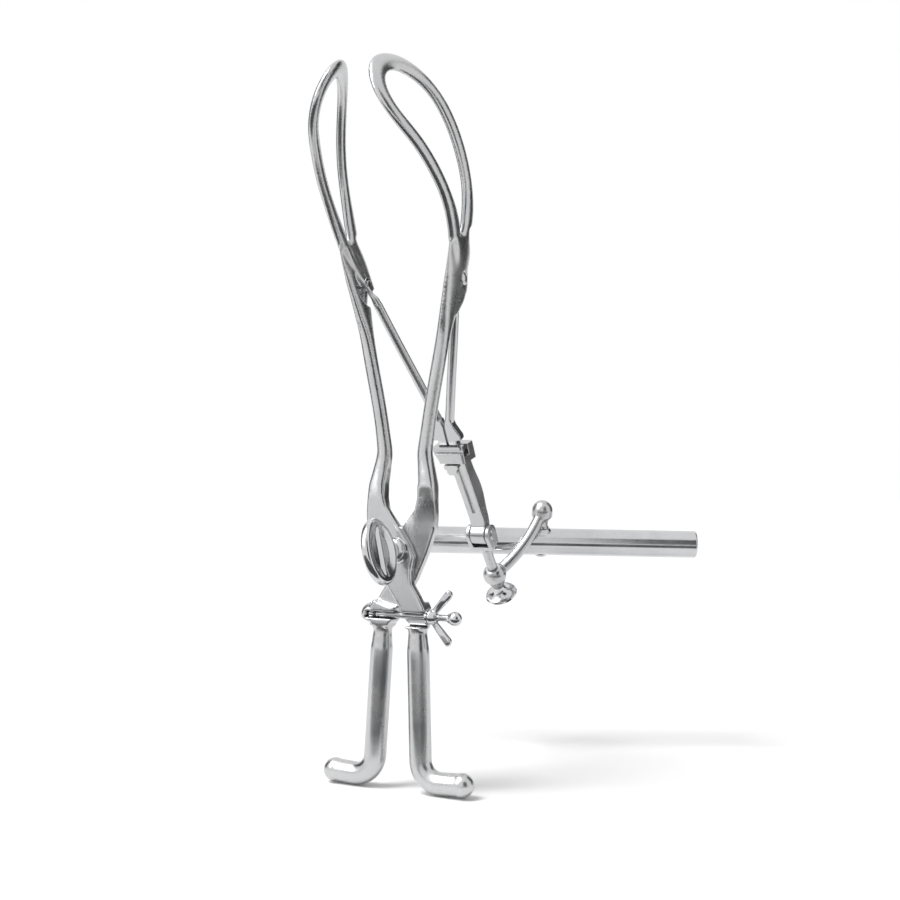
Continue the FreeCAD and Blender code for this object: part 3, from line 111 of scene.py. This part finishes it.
def steel(name, tone, warmth, roughness, spread, grain, along, bump=0.08):
    """Worked steel: brushed along one axis, with smudges, fine scratches and worn edges.

    tone is the grey of the metal and warmth its tint; roughness varies by spread; grain is
    the number of brush lines per metre, drawn out along the axis "X", "Y" or "Z".
    """
    material = bpy.data.materials.new(name)
    tree, shader = node_kit(material)
    links = tree.links
    shader.inputs["Metallic"].default_value = 1.0

    place = tree.nodes.new("ShaderNodeTexCoord")
    stretch = tree.nodes.new("ShaderNodeMapping")
    scale = {axis: grain for axis in "XYZ"}
    scale[along] = grain * 0.03
    stretch.inputs["Scale"].default_value = (scale["X"], scale["Y"], scale["Z"])
    links.new(place.outputs["Object"], stretch.inputs["Vector"])
    brush = add(tree, "ShaderNodeTexNoise", Scale=1.0, Detail=6.0, Roughness=0.6)
    links.new(stretch.outputs["Vector"], brush.inputs["Vector"])

    smudge = add(tree, "ShaderNodeTexNoise", Scale=38.0, Detail=3.0, Roughness=0.55, Distortion=0.6)
    links.new(place.outputs["Object"], smudge.inputs["Vector"])
    scratch = add(tree, "ShaderNodeTexVoronoi", Scale=230.0, Randomness=1.0)
    scratch.feature = "DISTANCE_TO_EDGE"
    links.new(place.outputs["Object"], scratch.inputs["Vector"])
    mark = ramp(tree, scratch.outputs["Distance"], 0.0, 0.02, grey(0.0), grey(1.0))

    dark = (tone * 0.86, tone * 0.87, tone * (0.9 - warmth), 1.0)
    light = (tone, tone, tone * (1.02 - warmth), 1.0)
    cloud = ramp(tree, smudge.outputs["Fac"], 0.3, 0.72, dark, light)
    lines = ramp(tree, brush.outputs["Fac"], 0.35, 0.7, grey(0.93), grey(1.0))
    tint = tree.nodes.new("ShaderNodeMix")
    tint.data_type = "RGBA"
    tint.blend_type = "MULTIPLY"
    tint.inputs["Factor"].default_value = 1.0
    links.new(cloud, tint.inputs["A"])
    links.new(lines, tint.inputs["B"])
    links.new(tint.outputs["Result"], shader.inputs["Base Color"])

    geometry = tree.nodes.new("ShaderNodeNewGeometry")
    edge = ramp(tree, geometry.outputs["Pointiness"], 0.5, 0.56, grey(0.0), grey(1.0))
    smooth = add(tree, "ShaderNodeMapRange", From_Min=0.3, From_Max=0.7)
    smooth.inputs["To Min"].default_value = roughness - spread
    smooth.inputs["To Max"].default_value = roughness + spread
    links.new(smudge.outputs["Fac"], smooth.inputs["Value"])
    edge_rough = tree.nodes.new("ShaderNodeMath")
    edge_rough.operation = "MULTIPLY_ADD"
    edge_rough.inputs[1].default_value = -spread
    links.new(edge, edge_rough.inputs[0])
    links.new(smooth.outputs["Result"], edge_rough.inputs[2])
    grain_rough = tree.nodes.new("ShaderNodeMath")
    grain_rough.operation = "MULTIPLY_ADD"
    grain_rough.inputs[1].default_value = spread
    links.new(brush.outputs["Fac"], grain_rough.inputs[0])
    links.new(edge_rough.outputs["Value"], grain_rough.inputs[2])
    links.new(grain_rough.outputs["Value"], shader.inputs["Roughness"])

    relief = tree.nodes.new("ShaderNodeMath")
    relief.operation = "MULTIPLY_ADD"
    relief.inputs[1].default_value = 0.35
    links.new(mark, relief.inputs[0])
    links.new(brush.outputs["Fac"], relief.inputs[2])
    raised = add(tree, "ShaderNodeBump", Strength=bump, Distance=0.0002)
    links.new(relief.outputs["Value"], raised.inputs["Height"])
    links.new(raised.outputs["Normal"], shader.inputs["Normal"])
    return material


FORGED = steel("forged_steel_look", 0.62, 0.012, 0.24, 0.05, 1800.0, "Z")
SCREW = steel("screw_steel_look", 0.68, 0.008, 0.16, 0.04, 1600.0, "Y", bump=0.05)
PINS = steel("pin_steel_look", 0.6, 0.014, 0.2, 0.05, 2400.0, "X", bump=0.06)
RODS = steel("rod_steel_look", 0.6, 0.01, 0.2, 0.05, 2200.0, "Z", bump=0.06)
FITTINGS = steel("fitting_steel_look", 0.58, 0.012, 0.26, 0.05, 2000.0, "Z", bump=0.1)
HANDLE = steel("handle_steel_look", 0.66, 0.006, 0.18, 0.04, 1500.0, "X", bump=0.05)

LOOKS = {
    "forged_steel": FORGED,
    "screw_steel": SCREW,
    "pin_steel": PINS,
    "rod_steel": RODS,
    "fitting_steel": FITTINGS,
    "handle_steel": HANDLE,
}

SLOT_OF = {part["node"]: part["material_slot"] for part in frame["record"]["subparts"]}
BODIES = frame["record"]["behaviour"]["bodies"]
BODY_OF = {name: body for body, names in BODIES.items() for name in names}
for name, node in frame["nodes"].items():
    for slot in node.material_slots:
        slot.material = LOOKS[SLOT_OF[name]]


# Pieces whose edges and junctions are worn round, in place of their plain solids


def baked(thing):
    """Apply the object's modifiers to its mesh."""
    bpy.context.view_layer.update()
    graph = bpy.context.evaluated_depsgraph_get()
    mesh = bpy.data.meshes.new_from_object(thing.evaluated_get(graph))
    thing.modifiers.clear()
    thing.data = mesh


def relax(thing, rounds, zone=None):
    """Smooth the mesh; zone gives the weight of a point, from 0 to 1."""
    modifier = thing.modifiers.new("relax", "SMOOTH")
    modifier.factor = 0.5
    modifier.iterations = rounds
    if zone:
        group = thing.vertex_groups.new(name="zone")
        for vertex in thing.data.vertices:
            weight = zone(vertex.co)
            if weight > 0.01:
                group.add([vertex.index], weight, "REPLACE")
        modifier.vertex_group = "zone"
    baked(thing)
    thing.vertex_groups.clear()


def band(low, high, fade):
    """A weight that is 1 between two heights in millimetres and fades out past them."""

    def weight(point):
        height = point.z / MM
        past = max(low - height, height - high, 0.0)
        return max(0.0, 1.0 - past / fade)

    return weight


def dressed(thing, node):
    """The piece takes the node's place, body and finish."""
    for face in thing.data.polygons:
        face.use_smooth = True
    thing.data.materials.clear()
    thing.data.materials.append(LOOKS[SLOT_OF[node]])
    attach(thing, BODY_OF[node])
    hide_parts(node)


def copy_of(node, name):
    """A piece with a copy of the node's mesh."""
    thing = bpy.data.objects.new(name, frame["nodes"][node].data.copy())
    bpy.context.scene.collection.objects.link(thing)
    return thing


def ring(centre, first, second, power, count=32):
    """Points of a rounded section: power 2 is an ellipse, a higher power squarer."""
    points = []
    for i in range(count):
        angle = 2 * math.pi * i / count
        c, d = math.cos(angle), math.sin(angle)
        u = math.copysign(abs(c) ** (2 / power), c)
        v = math.copysign(abs(d) ** (2 / power), d)
        points.append(centre + first * u + second * v)
    return points


def add_loft(thing, rings):
    """Join a closed skin through the given rings to the piece's mesh."""
    form = bmesh.new()
    form.from_mesh(thing.data)
    loops = [[form.verts.new(point * MM) for point in points] for points in rings]
    count = len(loops[0])
    for low, high in zip(loops, loops[1:]):
        for i in range(count):
            form.faces.new((low[i], low[(i + 1) % count], high[(i + 1) % count], high[i]))
    form.faces.new(list(reversed(loops[0])))
    form.faces.new(loops[-1])
    bmesh.ops.recalc_face_normals(form, faces=form.faces[:])
    form.to_mesh(thing.data)
    form.free()


def worn(node, voxel, rounds, zones=(), fillers=(), moulded=None):
    """The node's solid with worn edges.

    voxel is the size of the new skin's faces in millimetres and rounds how often it is
    smoothed; zones are extra (rounds, weight) passes of smoothing. fillers are lofts that
    blend its junctions, and moulded gives each point its new place.
    """
    thing = copy_of(node, node + "_worn")
    for rings in fillers:
        add_loft(thing, rings)
    skin = thing.modifiers.new("skin", "REMESH")
    skin.mode = "VOXEL"
    skin.voxel_size = voxel * MM
    baked(thing)
    if moulded:
        for vertex in thing.data.vertices:
            vertex.co = moulded(vertex.co / MM) * MM
    relax(thing, rounds)
    for extra, zone in zones:
        relax(thing, extra, zone)
    dressed(thing, node)


def share_of(value, start, end):
    """How far the value has come from start to end, eased, from 0 to 1."""
    share = min(1.0, max(0.0, (value - start) / (end - start)))
    return share * share * (3.0 - 2.0 * share)


# The branches: flowing junctions between lock, shank, heel and ribs
# Lengths are in millimetres from the lock's centre; LAP is the plane where the leaves meet

LAP = -5.5
BLADE_TILT = math.radians(30.0)
BLADE_RADIUS = 135.0
BLADE_PEAK = 26.0
BLADE_SIDE = 36.2
BLADE_LEAN = 0.093
HEEL_HEIGHT = 165.0
HEEL_FORWARD = 4.0
HEEL_TAPER_FROM = 148.0
HEEL_TAPER_END = 5.5
NECK_OFFSET = 10.7
NECK_RADIUS = 5.2
FOOT_TOP = -38.0
FOOT_LOW = -41.2
FOOT_END = -46.0
RAMP_LOW = 12.0
RAMP_TOP = 42.0
RAMP_RISE = 5.3
BOSS_RADIUS = 6.3
BOSS_CAP_TURN = math.radians(25.0)
SCREW_START = Vector((-17.6, LAP, -35.5))


def blade_point(along, across):
    """A point of the blade's middle surface, on the side of +X."""
    offset = along - BLADE_PEAK
    fall = BLADE_RADIUS - math.sqrt(BLADE_RADIUS**2 - offset**2)
    side = BLADE_SIDE - fall + BLADE_LEAN * across
    back = LAP - HEEL_FORWARD - along * math.sin(BLADE_TILT) + across * math.cos(BLADE_TILT)
    height = HEEL_HEIGHT + along * math.cos(BLADE_TILT) + across * math.sin(BLADE_TILT)
    return Vector((side, back, height))


def upright_ring(place, half_wide, half_deep, power=2.0):
    """A lying section of the given half width and half depth."""
    return ring(Vector(place), Vector((half_wide, 0, 0)), Vector((0, half_deep, 0)), power)


def branch_fillers(side):
    """Lofts for the branch whose blade is on the side given by the sign.

    They carry the leaf's square top into the shank, fill the step over the half-lap, widen
    the heel's wall behind the rod's eye and run the ribs into the heel.
    """

    def turned(points):
        return [Vector((side * point.x, point.y, point.z)) for point in points]

    shoulder = []
    for height, middle, back, half_wide, half_deep, power in (
        (26.0, 14.8, -5.4, 4.9, 5.2, 6.0),
        (30.0, 15.1, -5.3, 5.3, 5.6, 5.0),
        (36.0, 15.2, -4.9, 5.1, 5.4, 3.4),
        (43.0, 14.0, -4.5, 4.7, 5.0, 2.7),
        (49.0, 13.0, -4.3, 4.3, 4.75, 2.2),
        (54.0, 12.6, -4.3, 3.9, 4.4, 2.0),
    ):
        section = upright_ring((middle, back, height), half_wide, half_deep, power)
        shoulder.append(turned(section))
    ramp_rings = []
    for height, middle, half_wide in (
        (13.0, 13.2, 6.4),
        (18.0, 13.4, 6.7),
        (24.0, 14.2, 6.1),
        (28.0, 14.7, 5.3),
        (32.0, 14.9, 5.1),
        (36.0, 15.0, 4.9),
    ):
        near, far = LAP + side, LAP - side * RAMP_RISE
        half_deep = abs(far - near) / 2
        section = upright_ring((middle, (near + far) / 2, height), half_wide, half_deep, 4.0)
        ramp_rings.append(turned(section))
    heel = []
    for height, middle, back, half_wide, half_deep in (
        (128.0, 27.0, -3.0, 2.0, 4.0),
        (136.0, 30.3, -0.8, 0.6, 5.0),
        (142.0, 31.0, 0.4, 1.2, 5.2),
        (147.0, 31.1, 0.8, 1.35, 5.2),
        (153.0, 31.5, 0.0, 1.5, 4.8),
        (160.0, 32.6, -3.5, 1.7, 4.2),
    ):
        heel.append(turned(upright_ring((middle, back, height), half_wide, half_deep)))
    lofts = [shoulder, ramp_rings, heel]
    across_way = (blade_point(0, 1) - blade_point(0, -1)).normalized()
    thick_way = Vector((1, 0, 0))
    back_root = (
        (-24.0, 0.5, 2.5, 1.2),
        (-12.0, 3.0, 5.4, 2.3),
        (-4.0, 4.8, 5.9, 2.5),
        (4.0, 5.7, 5.9, 2.45),
        (7.0, 6.8, 5.4, 2.2),
    )
    front_root = (
        (-24.0, -1.0, 2.5, 1.2),
        (-12.0, -3.2, 5.4, 2.3),
        (-4.0, -4.8, 5.9, 2.5),
        (4.0, -5.4, 5.9, 2.45),
        (7.0, -5.6, 5.4, 2.2),
    )
    window_end = (
        (-12.0, 0.0, 4.0, 2.4),
        (-2.0, 0.2, 4.4, 2.5),
        (3.0, 0.4, 3.0, 2.0),
        (6.0, 0.7, 1.0, 0.9),
    )
    for stations in (back_root, front_root, window_end):
        rings = []
        for along, across, half_wide, half_thick in stations:
            centre = blade_point(along, across)
            rings.append(turned(ring(centre, thick_way * half_thick, across_way * half_wide, 2.0)))
        lofts.append(rings)
    return lofts


def boss_cap():
    """The closed outer wall of the ball boss, left of the screw's eye and clear of its swing."""
    out = Vector((-math.cos(BOSS_CAP_TURN), -math.sin(BOSS_CAP_TURN), 0))
    along = Vector((math.sin(BOSS_CAP_TURN), -math.cos(BOSS_CAP_TURN), 0))
    rings = []
    for reach in (3.7, 4.2, 4.7, 5.2, 5.7, 6.05, 6.25):
        radius = math.sqrt(BOSS_RADIUS**2 - reach**2)
        rings.append(ring(SCREW_START + out * reach, along * radius, Vector((0, 0, radius)), 2.0))
    return rings


def branch_form(side):
    """Tapers the heel's upper corners and slopes the leaf's shoulder and foot."""

    def tapered_heel(x, y, z):
        behind, above = y - LAP + HEEL_FORWARD, z - HEEL_HEIGHT
        along = above * math.cos(BLADE_TILT) - behind * math.sin(BLADE_TILT)
        across = above * math.sin(BLADE_TILT) + behind * math.cos(BLADE_TILT)
        if along >= HEEL_TAPER_END:
            return x, y, z
        corner = share_of(abs(across), 5.5, 10.5)
        middle = blade_point(along, across).x
        x = middle + (x - middle) * (1.0 - 0.45 * corner * share_of(along, -14.0, 3.0))
        narrow = 1.0 - 0.05 * corner * share_of(along, -12.0, 3.0)
        y -= across * (1.0 - narrow) * math.cos(BLADE_TILT)
        z -= across * (1.0 - narrow) * math.sin(BLADE_TILT)
        return x, y, z

    def moulded(point):
        x, y, z = side * point.x, point.y, point.z
        if z > HEEL_TAPER_FROM:
            x, y, z = tapered_heel(x, y, z)
        elif FOOT_END < z < FOOT_TOP:
            out = x + NECK_OFFSET
            if abs(out) > NECK_RADIUS:
                kept = 1.0 - 0.96 * share_of(-z, -FOOT_TOP, -FOOT_LOW)
                x = -NECK_OFFSET + math.copysign(NECK_RADIUS + (abs(out) - NECK_RADIUS) * kept, out)
        elif RAMP_LOW < z < RAMP_TOP and x > 3.0:
            proud = (LAP - y) * side
            if proud > 0.0:
                y = LAP - side * proud * share_of(z, RAMP_LOW, RAMP_TOP)
        return Vector((side * x, y, z))

    return moulded


BRANCH_ZONES = (
    (12, band(-46.0, 30.0, 4.0)),
    (60, band(24.0, 40.0, 9.0)),
    (30, band(-54.0, -42.0, 4.0)),
    (30, band(129.0, 139.0, 4.0)),
    (24, band(150.0, 172.0, 8.0)),
)
worn("left_branch", 0.5, 4, BRANCH_ZONES, branch_fillers(-1), branch_form(-1))
worn("right_branch", 0.5, 4, BRANCH_ZONES, branch_fillers(1) + [boss_cap()], branch_form(1))


# The thumb plate: dished on both faces, with a ridge down the middle

PLATE_CENTRE = Vector((0.0, -30.8, 0.0))
PLATE_HALF_HEIGHT = 18.0
PLATE_HALF_DEPTH = 15.5
PLATE_TURN = math.radians(13.0)
DISH_REACH = 0.82
DISH_DEPTH = 1.5
RIDGE_HEIGHT = 1.25
RIDGE_WIDTH = 1.9
PLATE_UP = Vector((-math.sin(PLATE_TURN), 0.0, math.cos(PLATE_TURN)))
PLATE_FACE = Vector((math.cos(PLATE_TURN), 0.0, math.sin(PLATE_TURN)))


def dished(point):
    arm = point - PLATE_CENTRE
    height, depth = arm.dot(PLATE_UP) / PLATE_HALF_HEIGHT, arm.y / PLATE_HALF_DEPTH
    out = arm.dot(PLATE_FACE)
    reach = math.hypot(height, depth)
    if reach > DISH_REACH or abs(out) < 0.8:
        return point
    fade = 1.0 - (reach / DISH_REACH) ** 2
    hollow = DISH_DEPTH * min(1.0, fade * 1.8)
    profile = math.exp(-((depth * PLATE_HALF_DEPTH / RIDGE_WIDTH) ** 2))
    ridge = RIDGE_HEIGHT * profile * min(1.0, fade * 2.2)
    return point - PLATE_FACE * math.copysign(hollow - ridge, out)


worn("lock_screw", 0.28, 6, moulded=dished)


# The coupling block: its top slopes to the back, with a groove across its front

ROD_TILT = math.radians(31.0)
ROD_PIVOT = Vector((0.0, -1.5, 147.6))
ROD_DOWN = Vector((0.0, math.sin(ROD_TILT), -math.cos(ROD_TILT)))
ROD_BACK = Vector((0.0, math.cos(ROD_TILT), math.sin(ROD_TILT)))
BLOCK_TOP = 101.4
BLOCK_FOOT = 112.4
BLOCK_FRONT = 5.6
BLOCK_HALF_WIDTH = 9.7
BLOCK_SLOPE = 0.24
BLOCK_CHAMFER = 2.6
GROOVE_TOP = 103.6
GROOVE_LOW = 106.0
GROOVE_FLOOR = -4.2


def block_form(point):
    arm = point - ROD_PIVOT
    right, back, down = arm.x, arm.dot(ROD_BACK), arm.dot(ROD_DOWN)
    down = min(BLOCK_FOOT, max(BLOCK_TOP, down))
    if GROOVE_TOP < down < GROOVE_LOW and back < GROOVE_FLOOR:
        back = GROOVE_FLOOR
    share = (down - BLOCK_TOP) / 11.0
    right += BLOCK_CHAMFER * share_of(share, 0.25, 1.0) * max(0.0, -right / BLOCK_HALF_WIDTH)
    down += BLOCK_SLOPE * (back + BLOCK_FRONT)
    return ROD_PIVOT + Vector((right, 0, 0)) + ROD_BACK * back + ROD_DOWN * down


worn("coupling_block", 0.25, 3, moulded=block_form)


# The traction rods and their pins: slimmer eyes that keep to the heels' walls

EYE_SEAT = 29.5
EYE_INNER_SIDE = 25.2
EYE_RADIUS = 4.6
EYE_FADE = 9.0
EYE_BORE = 2.2
ROD_FADE = 60.0


def eye_form(point):
    behind, above = point.y - ROD_PIVOT.y, point.z - ROD_PIVOT.z
    radius = math.hypot(behind, above)
    if abs(point.x) > EYE_SEAT or radius > ROD_FADE:
        return point
    past = share_of(radius, EYE_RADIUS, EYE_FADE)
    thin = 0.38 * (1.0 - past) + 0.07 * past * (1.0 - radius / ROD_FADE)
    across = math.copysign(EYE_SEAT - (EYE_SEAT - abs(point.x)) * (1.0 - thin), point.x)
    kept = 1.0
    if abs(point.x) > EYE_INNER_SIDE and EYE_BORE < radius < EYE_RADIUS + 0.3:
        kept = (EYE_BORE + (radius - EYE_BORE) * 0.66) / radius
    return Vector((across, ROD_PIVOT.y + behind * kept, ROD_PIVOT.z + above * kept))


for name in ("left_traction_rod", "right_traction_rod"):
    worn(name, 0.28, 8, moulded=eye_form)
for name in ("left_rod_pin", "right_rod_pin"):
    worn(name, 0.18, 4, moulded=eye_form)


# The traction shaft: its back swells towards the middle

SHAFT_TILT = math.radians(40.0)
SHAFT_FOOT = Vector((0.0, 96.7, 6.3))
SHAFT_UP = Vector((0.0, -math.sin(SHAFT_TILT), math.cos(SHAFT_TILT)))
SHAFT_BACK = Vector((0.0, math.cos(SHAFT_TILT), math.sin(SHAFT_TILT)))
SWELL_FROM = 8.0
SWELL_LENGTH = 40.0
SWELL_HEIGHT = 2.0


def swollen(point):
    arm = point - SHAFT_FOOT
    height, back = arm.dot(SHAFT_UP), arm.dot(SHAFT_BACK)
    share = (height - SWELL_FROM) / SWELL_LENGTH
    if not 0.0 < share < 1.0 or back < 0.0:
        return point
    swell = SWELL_HEIGHT * math.sin(math.pi * share) ** 2
    return point + SHAFT_BACK * swell * min(1.0, back / 4.0)


worn("traction_shaft", 0.28, 12, moulded=swollen)


# Pieces that only lose their sharp edges

for name, voxel, rounds in (
    ("catch_slide", 0.22, 5),
    ("swivel_stem", 0.28, 8),
    ("handle_arm", 0.28, 16),
):
    worn(name, voxel, rounds)


# The wing nut: its wings are a little longer and fuller than the plain solid's


NUT_RADIUS = 5.0
WING_GROWTH = 1.16
WING_SPLAY = 0.7


def wing_form(point):
    behind, above = point.y - SCREW_START.y, point.z - SCREW_START.z
    radius = math.hypot(behind, above)
    if radius < NUT_RADIUS:
        return point
    reach = (NUT_RADIUS + (radius - NUT_RADIUS) * WING_GROWTH) / radius
    fuller = 1.0 + 0.25 * share_of(radius, NUT_RADIUS, 9.0)
    outward = point.x + (reach * radius - radius) * WING_SPLAY
    return Vector((outward, SCREW_START.y + behind * fuller, SCREW_START.z + above * reach))


worn("wing_nut", 0.2, 12, moulded=wing_form)


# The compression screw: a threaded rod behind its flat eye

THREAD_FROM = 7.0
THREAD_END = 47.0
THREAD_PITCH = 0.9
THREAD_DEPTH = 0.26
THREAD_RADIUS = 1.89
SCREW_EYE_BORE = 2.0
SCREW_EYE_END = 4.0


def threaded_rod():
    """The screw's rod as one skin whose radius follows the thread."""
    around, step = 40, 0.1
    form = bmesh.new()
    rows = []
    count = int((THREAD_END - THREAD_FROM) / step)
    for i in range(count + 1):
        along = THREAD_FROM + (THREAD_END - THREAD_FROM) * i / count
        fade = min(1.0, (along - THREAD_FROM) / 3.0, (THREAD_END - along) / 1.5)
        row = []
        for j in range(around):
            angle = 2 * math.pi * j / around
            wave = abs(((along / THREAD_PITCH + j / around) % 1.0) - 0.5) * 2.0
            radius = THREAD_RADIUS - THREAD_DEPTH * max(0.0, fade) * (1.0 - wave)
            offset = Vector((along, radius * math.cos(angle), radius * math.sin(angle)))
            row.append(form.verts.new((SCREW_START + offset) * MM))
        rows.append(row)
    for low, high in zip(rows, rows[1:]):
        for j in range(around):
            form.faces.new((low[j], low[(j + 1) % around], high[(j + 1) % around], high[j]))
    form.faces.new(list(reversed(rows[0])))
    form.faces.new(rows[-1])
    bmesh.ops.recalc_face_normals(form, faces=form.faces[:])
    mesh = bpy.data.meshes.new("screw_thread")
    form.to_mesh(mesh)
    form.free()
    return mesh


def build_screw():
    """The plain solid's eye, drawn in, with a threaded rod in place of the plain one."""
    thing = copy_of("compression_screw", "compression_screw_threaded")
    form = bmesh.new()
    form.from_mesh(thing.data)
    bmesh.ops.remove_doubles(form, verts=form.verts[:], dist=0.0005 * MM)
    bmesh.ops.bisect_plane(
        form,
        geom=form.verts[:] + form.edges[:] + form.faces[:],
        plane_co=(SCREW_START + Vector((THREAD_FROM + 0.2, 0, 0))) * MM,
        plane_no=(1, 0, 0),
        clear_outer=True,
    )
    for vertex in form.verts:
        arm = vertex.co / MM - SCREW_START
        radius = math.hypot(arm.x, arm.y)
        if arm.x < SCREW_EYE_END and radius > SCREW_EYE_BORE:
            kept = (SCREW_EYE_BORE + (radius - SCREW_EYE_BORE) * 0.6) / radius
            vertex.co = (SCREW_START + Vector((arm.x * kept, arm.y * kept, arm.z))) * MM
    form.from_mesh(threaded_rod())
    form.to_mesh(thing.data)
    form.free()
    dressed(thing, "compression_screw")


build_screw()


# Floor, backdrop and light


def plain(name, colour):
    """A plain matt surface."""
    material = bpy.data.materials.new(name)
    tree, shader = node_kit(material)
    shader.inputs["Base Color"].default_value = grey(colour)
    shader.inputs["Roughness"].default_value = 0.9
    return material


def card(name, corners, look):
    """A flat four-cornered sheet of the studio."""
    mesh = bpy.data.meshes.new(name)
    mesh.from_pydata(corners, [], [(0, 1, 2, 3)])
    mesh.materials.append(look)
    thing = bpy.data.objects.new(name, mesh)
    bpy.context.scene.collection.objects.link(thing)
    return thing


def build_floor():
    height = CAD_BOX[0][2] - FLOOR_GAP
    signs = ((-1, -1), (1, -1), (1, 1), (-1, 1))
    corners = [(x * FLOOR_HALF, y * FLOOR_HALF, height) for x, y in signs]
    card("floor", corners, plain("floor_look", FLOOR_COLOUR))


def build_world():
    """A pale surround that the camera and the steel's reflections see as white."""
    world = bpy.data.worlds.new("studio")
    bpy.context.scene.world = world
    world.use_nodes = True
    tree = world.node_tree
    background = tree.nodes["Background"]
    background.inputs["Color"].default_value = (1.0, 1.0, 1.0, 1.0)
    background.inputs["Strength"].default_value = WORLD_STRENGTH
    white = add(tree, "ShaderNodeBackground", Color=(1.0, 1.0, 1.0, 1.0), Strength=1.0)
    path = tree.nodes.new("ShaderNodeLightPath")
    either = tree.nodes.new("ShaderNodeMath")
    either.operation = "MAXIMUM"
    any_of = tree.nodes.new("ShaderNodeMath")
    any_of.operation = "MAXIMUM"
    mix = tree.nodes.new("ShaderNodeMixShader")
    output = tree.nodes["World Output"]
    tree.links.new(path.outputs["Is Camera Ray"], either.inputs[0])
    tree.links.new(path.outputs["Is Glossy Ray"], either.inputs[1])
    tree.links.new(either.outputs["Value"], any_of.inputs[0])
    tree.links.new(path.outputs["Is Transmission Ray"], any_of.inputs[1])
    tree.links.new(any_of.outputs["Value"], mix.inputs["Fac"])
    tree.links.new(background.outputs["Background"], mix.inputs[1])
    tree.links.new(white.outputs["Background"], mix.inputs[2])
    tree.links.new(mix.outputs["Shader"], output.inputs["Surface"])


def build_lamp(name, place, power, size):
    """A soft rectangular lamp that points at the object."""
    data = bpy.data.lights.new(name, "AREA")
    data.energy = power
    data.shape = "RECTANGLE"
    data.size = size[0]
    data.size_y = size[1]
    lamp = bpy.data.objects.new(name, data)
    lamp.location = place
    aim = CAMERA_TARGET - Vector(place)
    lamp.rotation_euler = aim.to_track_quat("-Z", "Y").to_euler()
    bpy.context.scene.collection.objects.link(lamp)


def build_sun(name, way, strength, spread):
    """A wide soft lamp far away, so that the floor is lit evenly."""
    data = bpy.data.lights.new(name, "SUN")
    data.energy = strength
    data.angle = math.radians(spread)
    lamp = bpy.data.objects.new(name, data)
    lamp.rotation_euler = Vector(way).to_track_quat("-Z", "Y").to_euler()
    bpy.context.scene.collection.objects.link(lamp)


def flag_card(name, corners, shade):
    """A card that only the steel's reflections show."""
    flag = card(name, corners, plain(name + "_look", shade))
    flag.visible_camera = False
    flag.visible_shadow = False
    flag.visible_diffuse = False


def build_flag(name, azimuth, distance, width, low, high):
    """An upright dark card beyond the picture, at an angle from the way the camera looks."""
    turn = math.radians(CAMERA_AZIMUTH + azimuth)
    out = Vector((-math.sin(turn), math.cos(turn), 0.0))
    side = Vector((math.cos(turn), math.sin(turn), 0.0))
    centre = Vector((CAMERA_TARGET.x, CAMERA_TARGET.y, 0.0)) + out * distance
    corners = []
    for across, height in ((-1, low), (1, low), (1, high), (-1, high)):
        corners.append(centre + side * across * width / 2 + Vector((0, 0, height)))
    flag_card(name, corners, FLAG_COLOUR)


def build_low_flag(name, near, far, width):
    """A lying dark card between the object and the camera, just above the floor."""
    turn = math.radians(CAMERA_AZIMUTH)
    front = Vector((math.sin(turn), -math.cos(turn), 0.0))
    side = Vector((math.cos(turn), math.sin(turn), 0.0))
    centre = Vector((CAMERA_TARGET.x, CAMERA_TARGET.y, CAD_BOX[0][2] + LOW_FLAG_LIFT))
    corners = []
    for across, distance in ((-1, near), (1, near), (1, far), (-1, far)):
        corners.append(centre + side * across * width / 2 + front * distance)
    flag_card(name, corners, LOW_FLAG_COLOUR)


def build_camera():
    azimuth = math.radians(CAMERA_AZIMUTH)
    elevation = math.radians(CAMERA_ELEVATION)
    roll = math.radians(CAMERA_ROLL)
    right = Vector((math.cos(azimuth), math.sin(azimuth), 0.0))
    look = Vector(
        (
            -math.sin(azimuth) * math.cos(elevation),
            math.cos(azimuth) * math.cos(elevation),
            -math.sin(elevation),
        )
    )
    up = right.cross(look)
    image_right = right * math.cos(roll) - up * math.sin(roll)
    image_up = right * math.sin(roll) + up * math.cos(roll)
    data = bpy.data.cameras.new("camera")
    data.sensor_fit = "HORIZONTAL"
    data.sensor_width = SENSOR
    data.lens = SENSOR * FOCAL_SHARE
    data.clip_start = 0.01
    camera = bpy.data.objects.new("camera", data)
    turn = Matrix((image_right, image_up, -look)).transposed()
    camera.matrix_world = Matrix.Translation(CAMERA_TARGET - look * CAMERA_DISTANCE) @ turn.to_4x4()
    bpy.context.scene.collection.objects.link(camera)
    bpy.context.scene.camera = camera


build_floor()
build_world()
build_sun("sky", (0.35, 0.45, -1.0), 2.2, 25.0)
build_lamp("key", (-0.6, -0.9, 0.7), 4.0, (0.5, 0.8))
build_flag("right_flag", -58.0, 1.3, 0.95, -0.1, 1.6)
build_flag("left_flag", 62.0, 1.3, 0.8, -0.1, 1.6)
build_flag("front_flag", -150.0, 1.4, 0.9, -0.1, 1.2)
build_low_flag("low_flag", 0.05, 0.6, 1.4)
build_camera()
bpy.context.scene.view_settings.view_transform = "Standard"
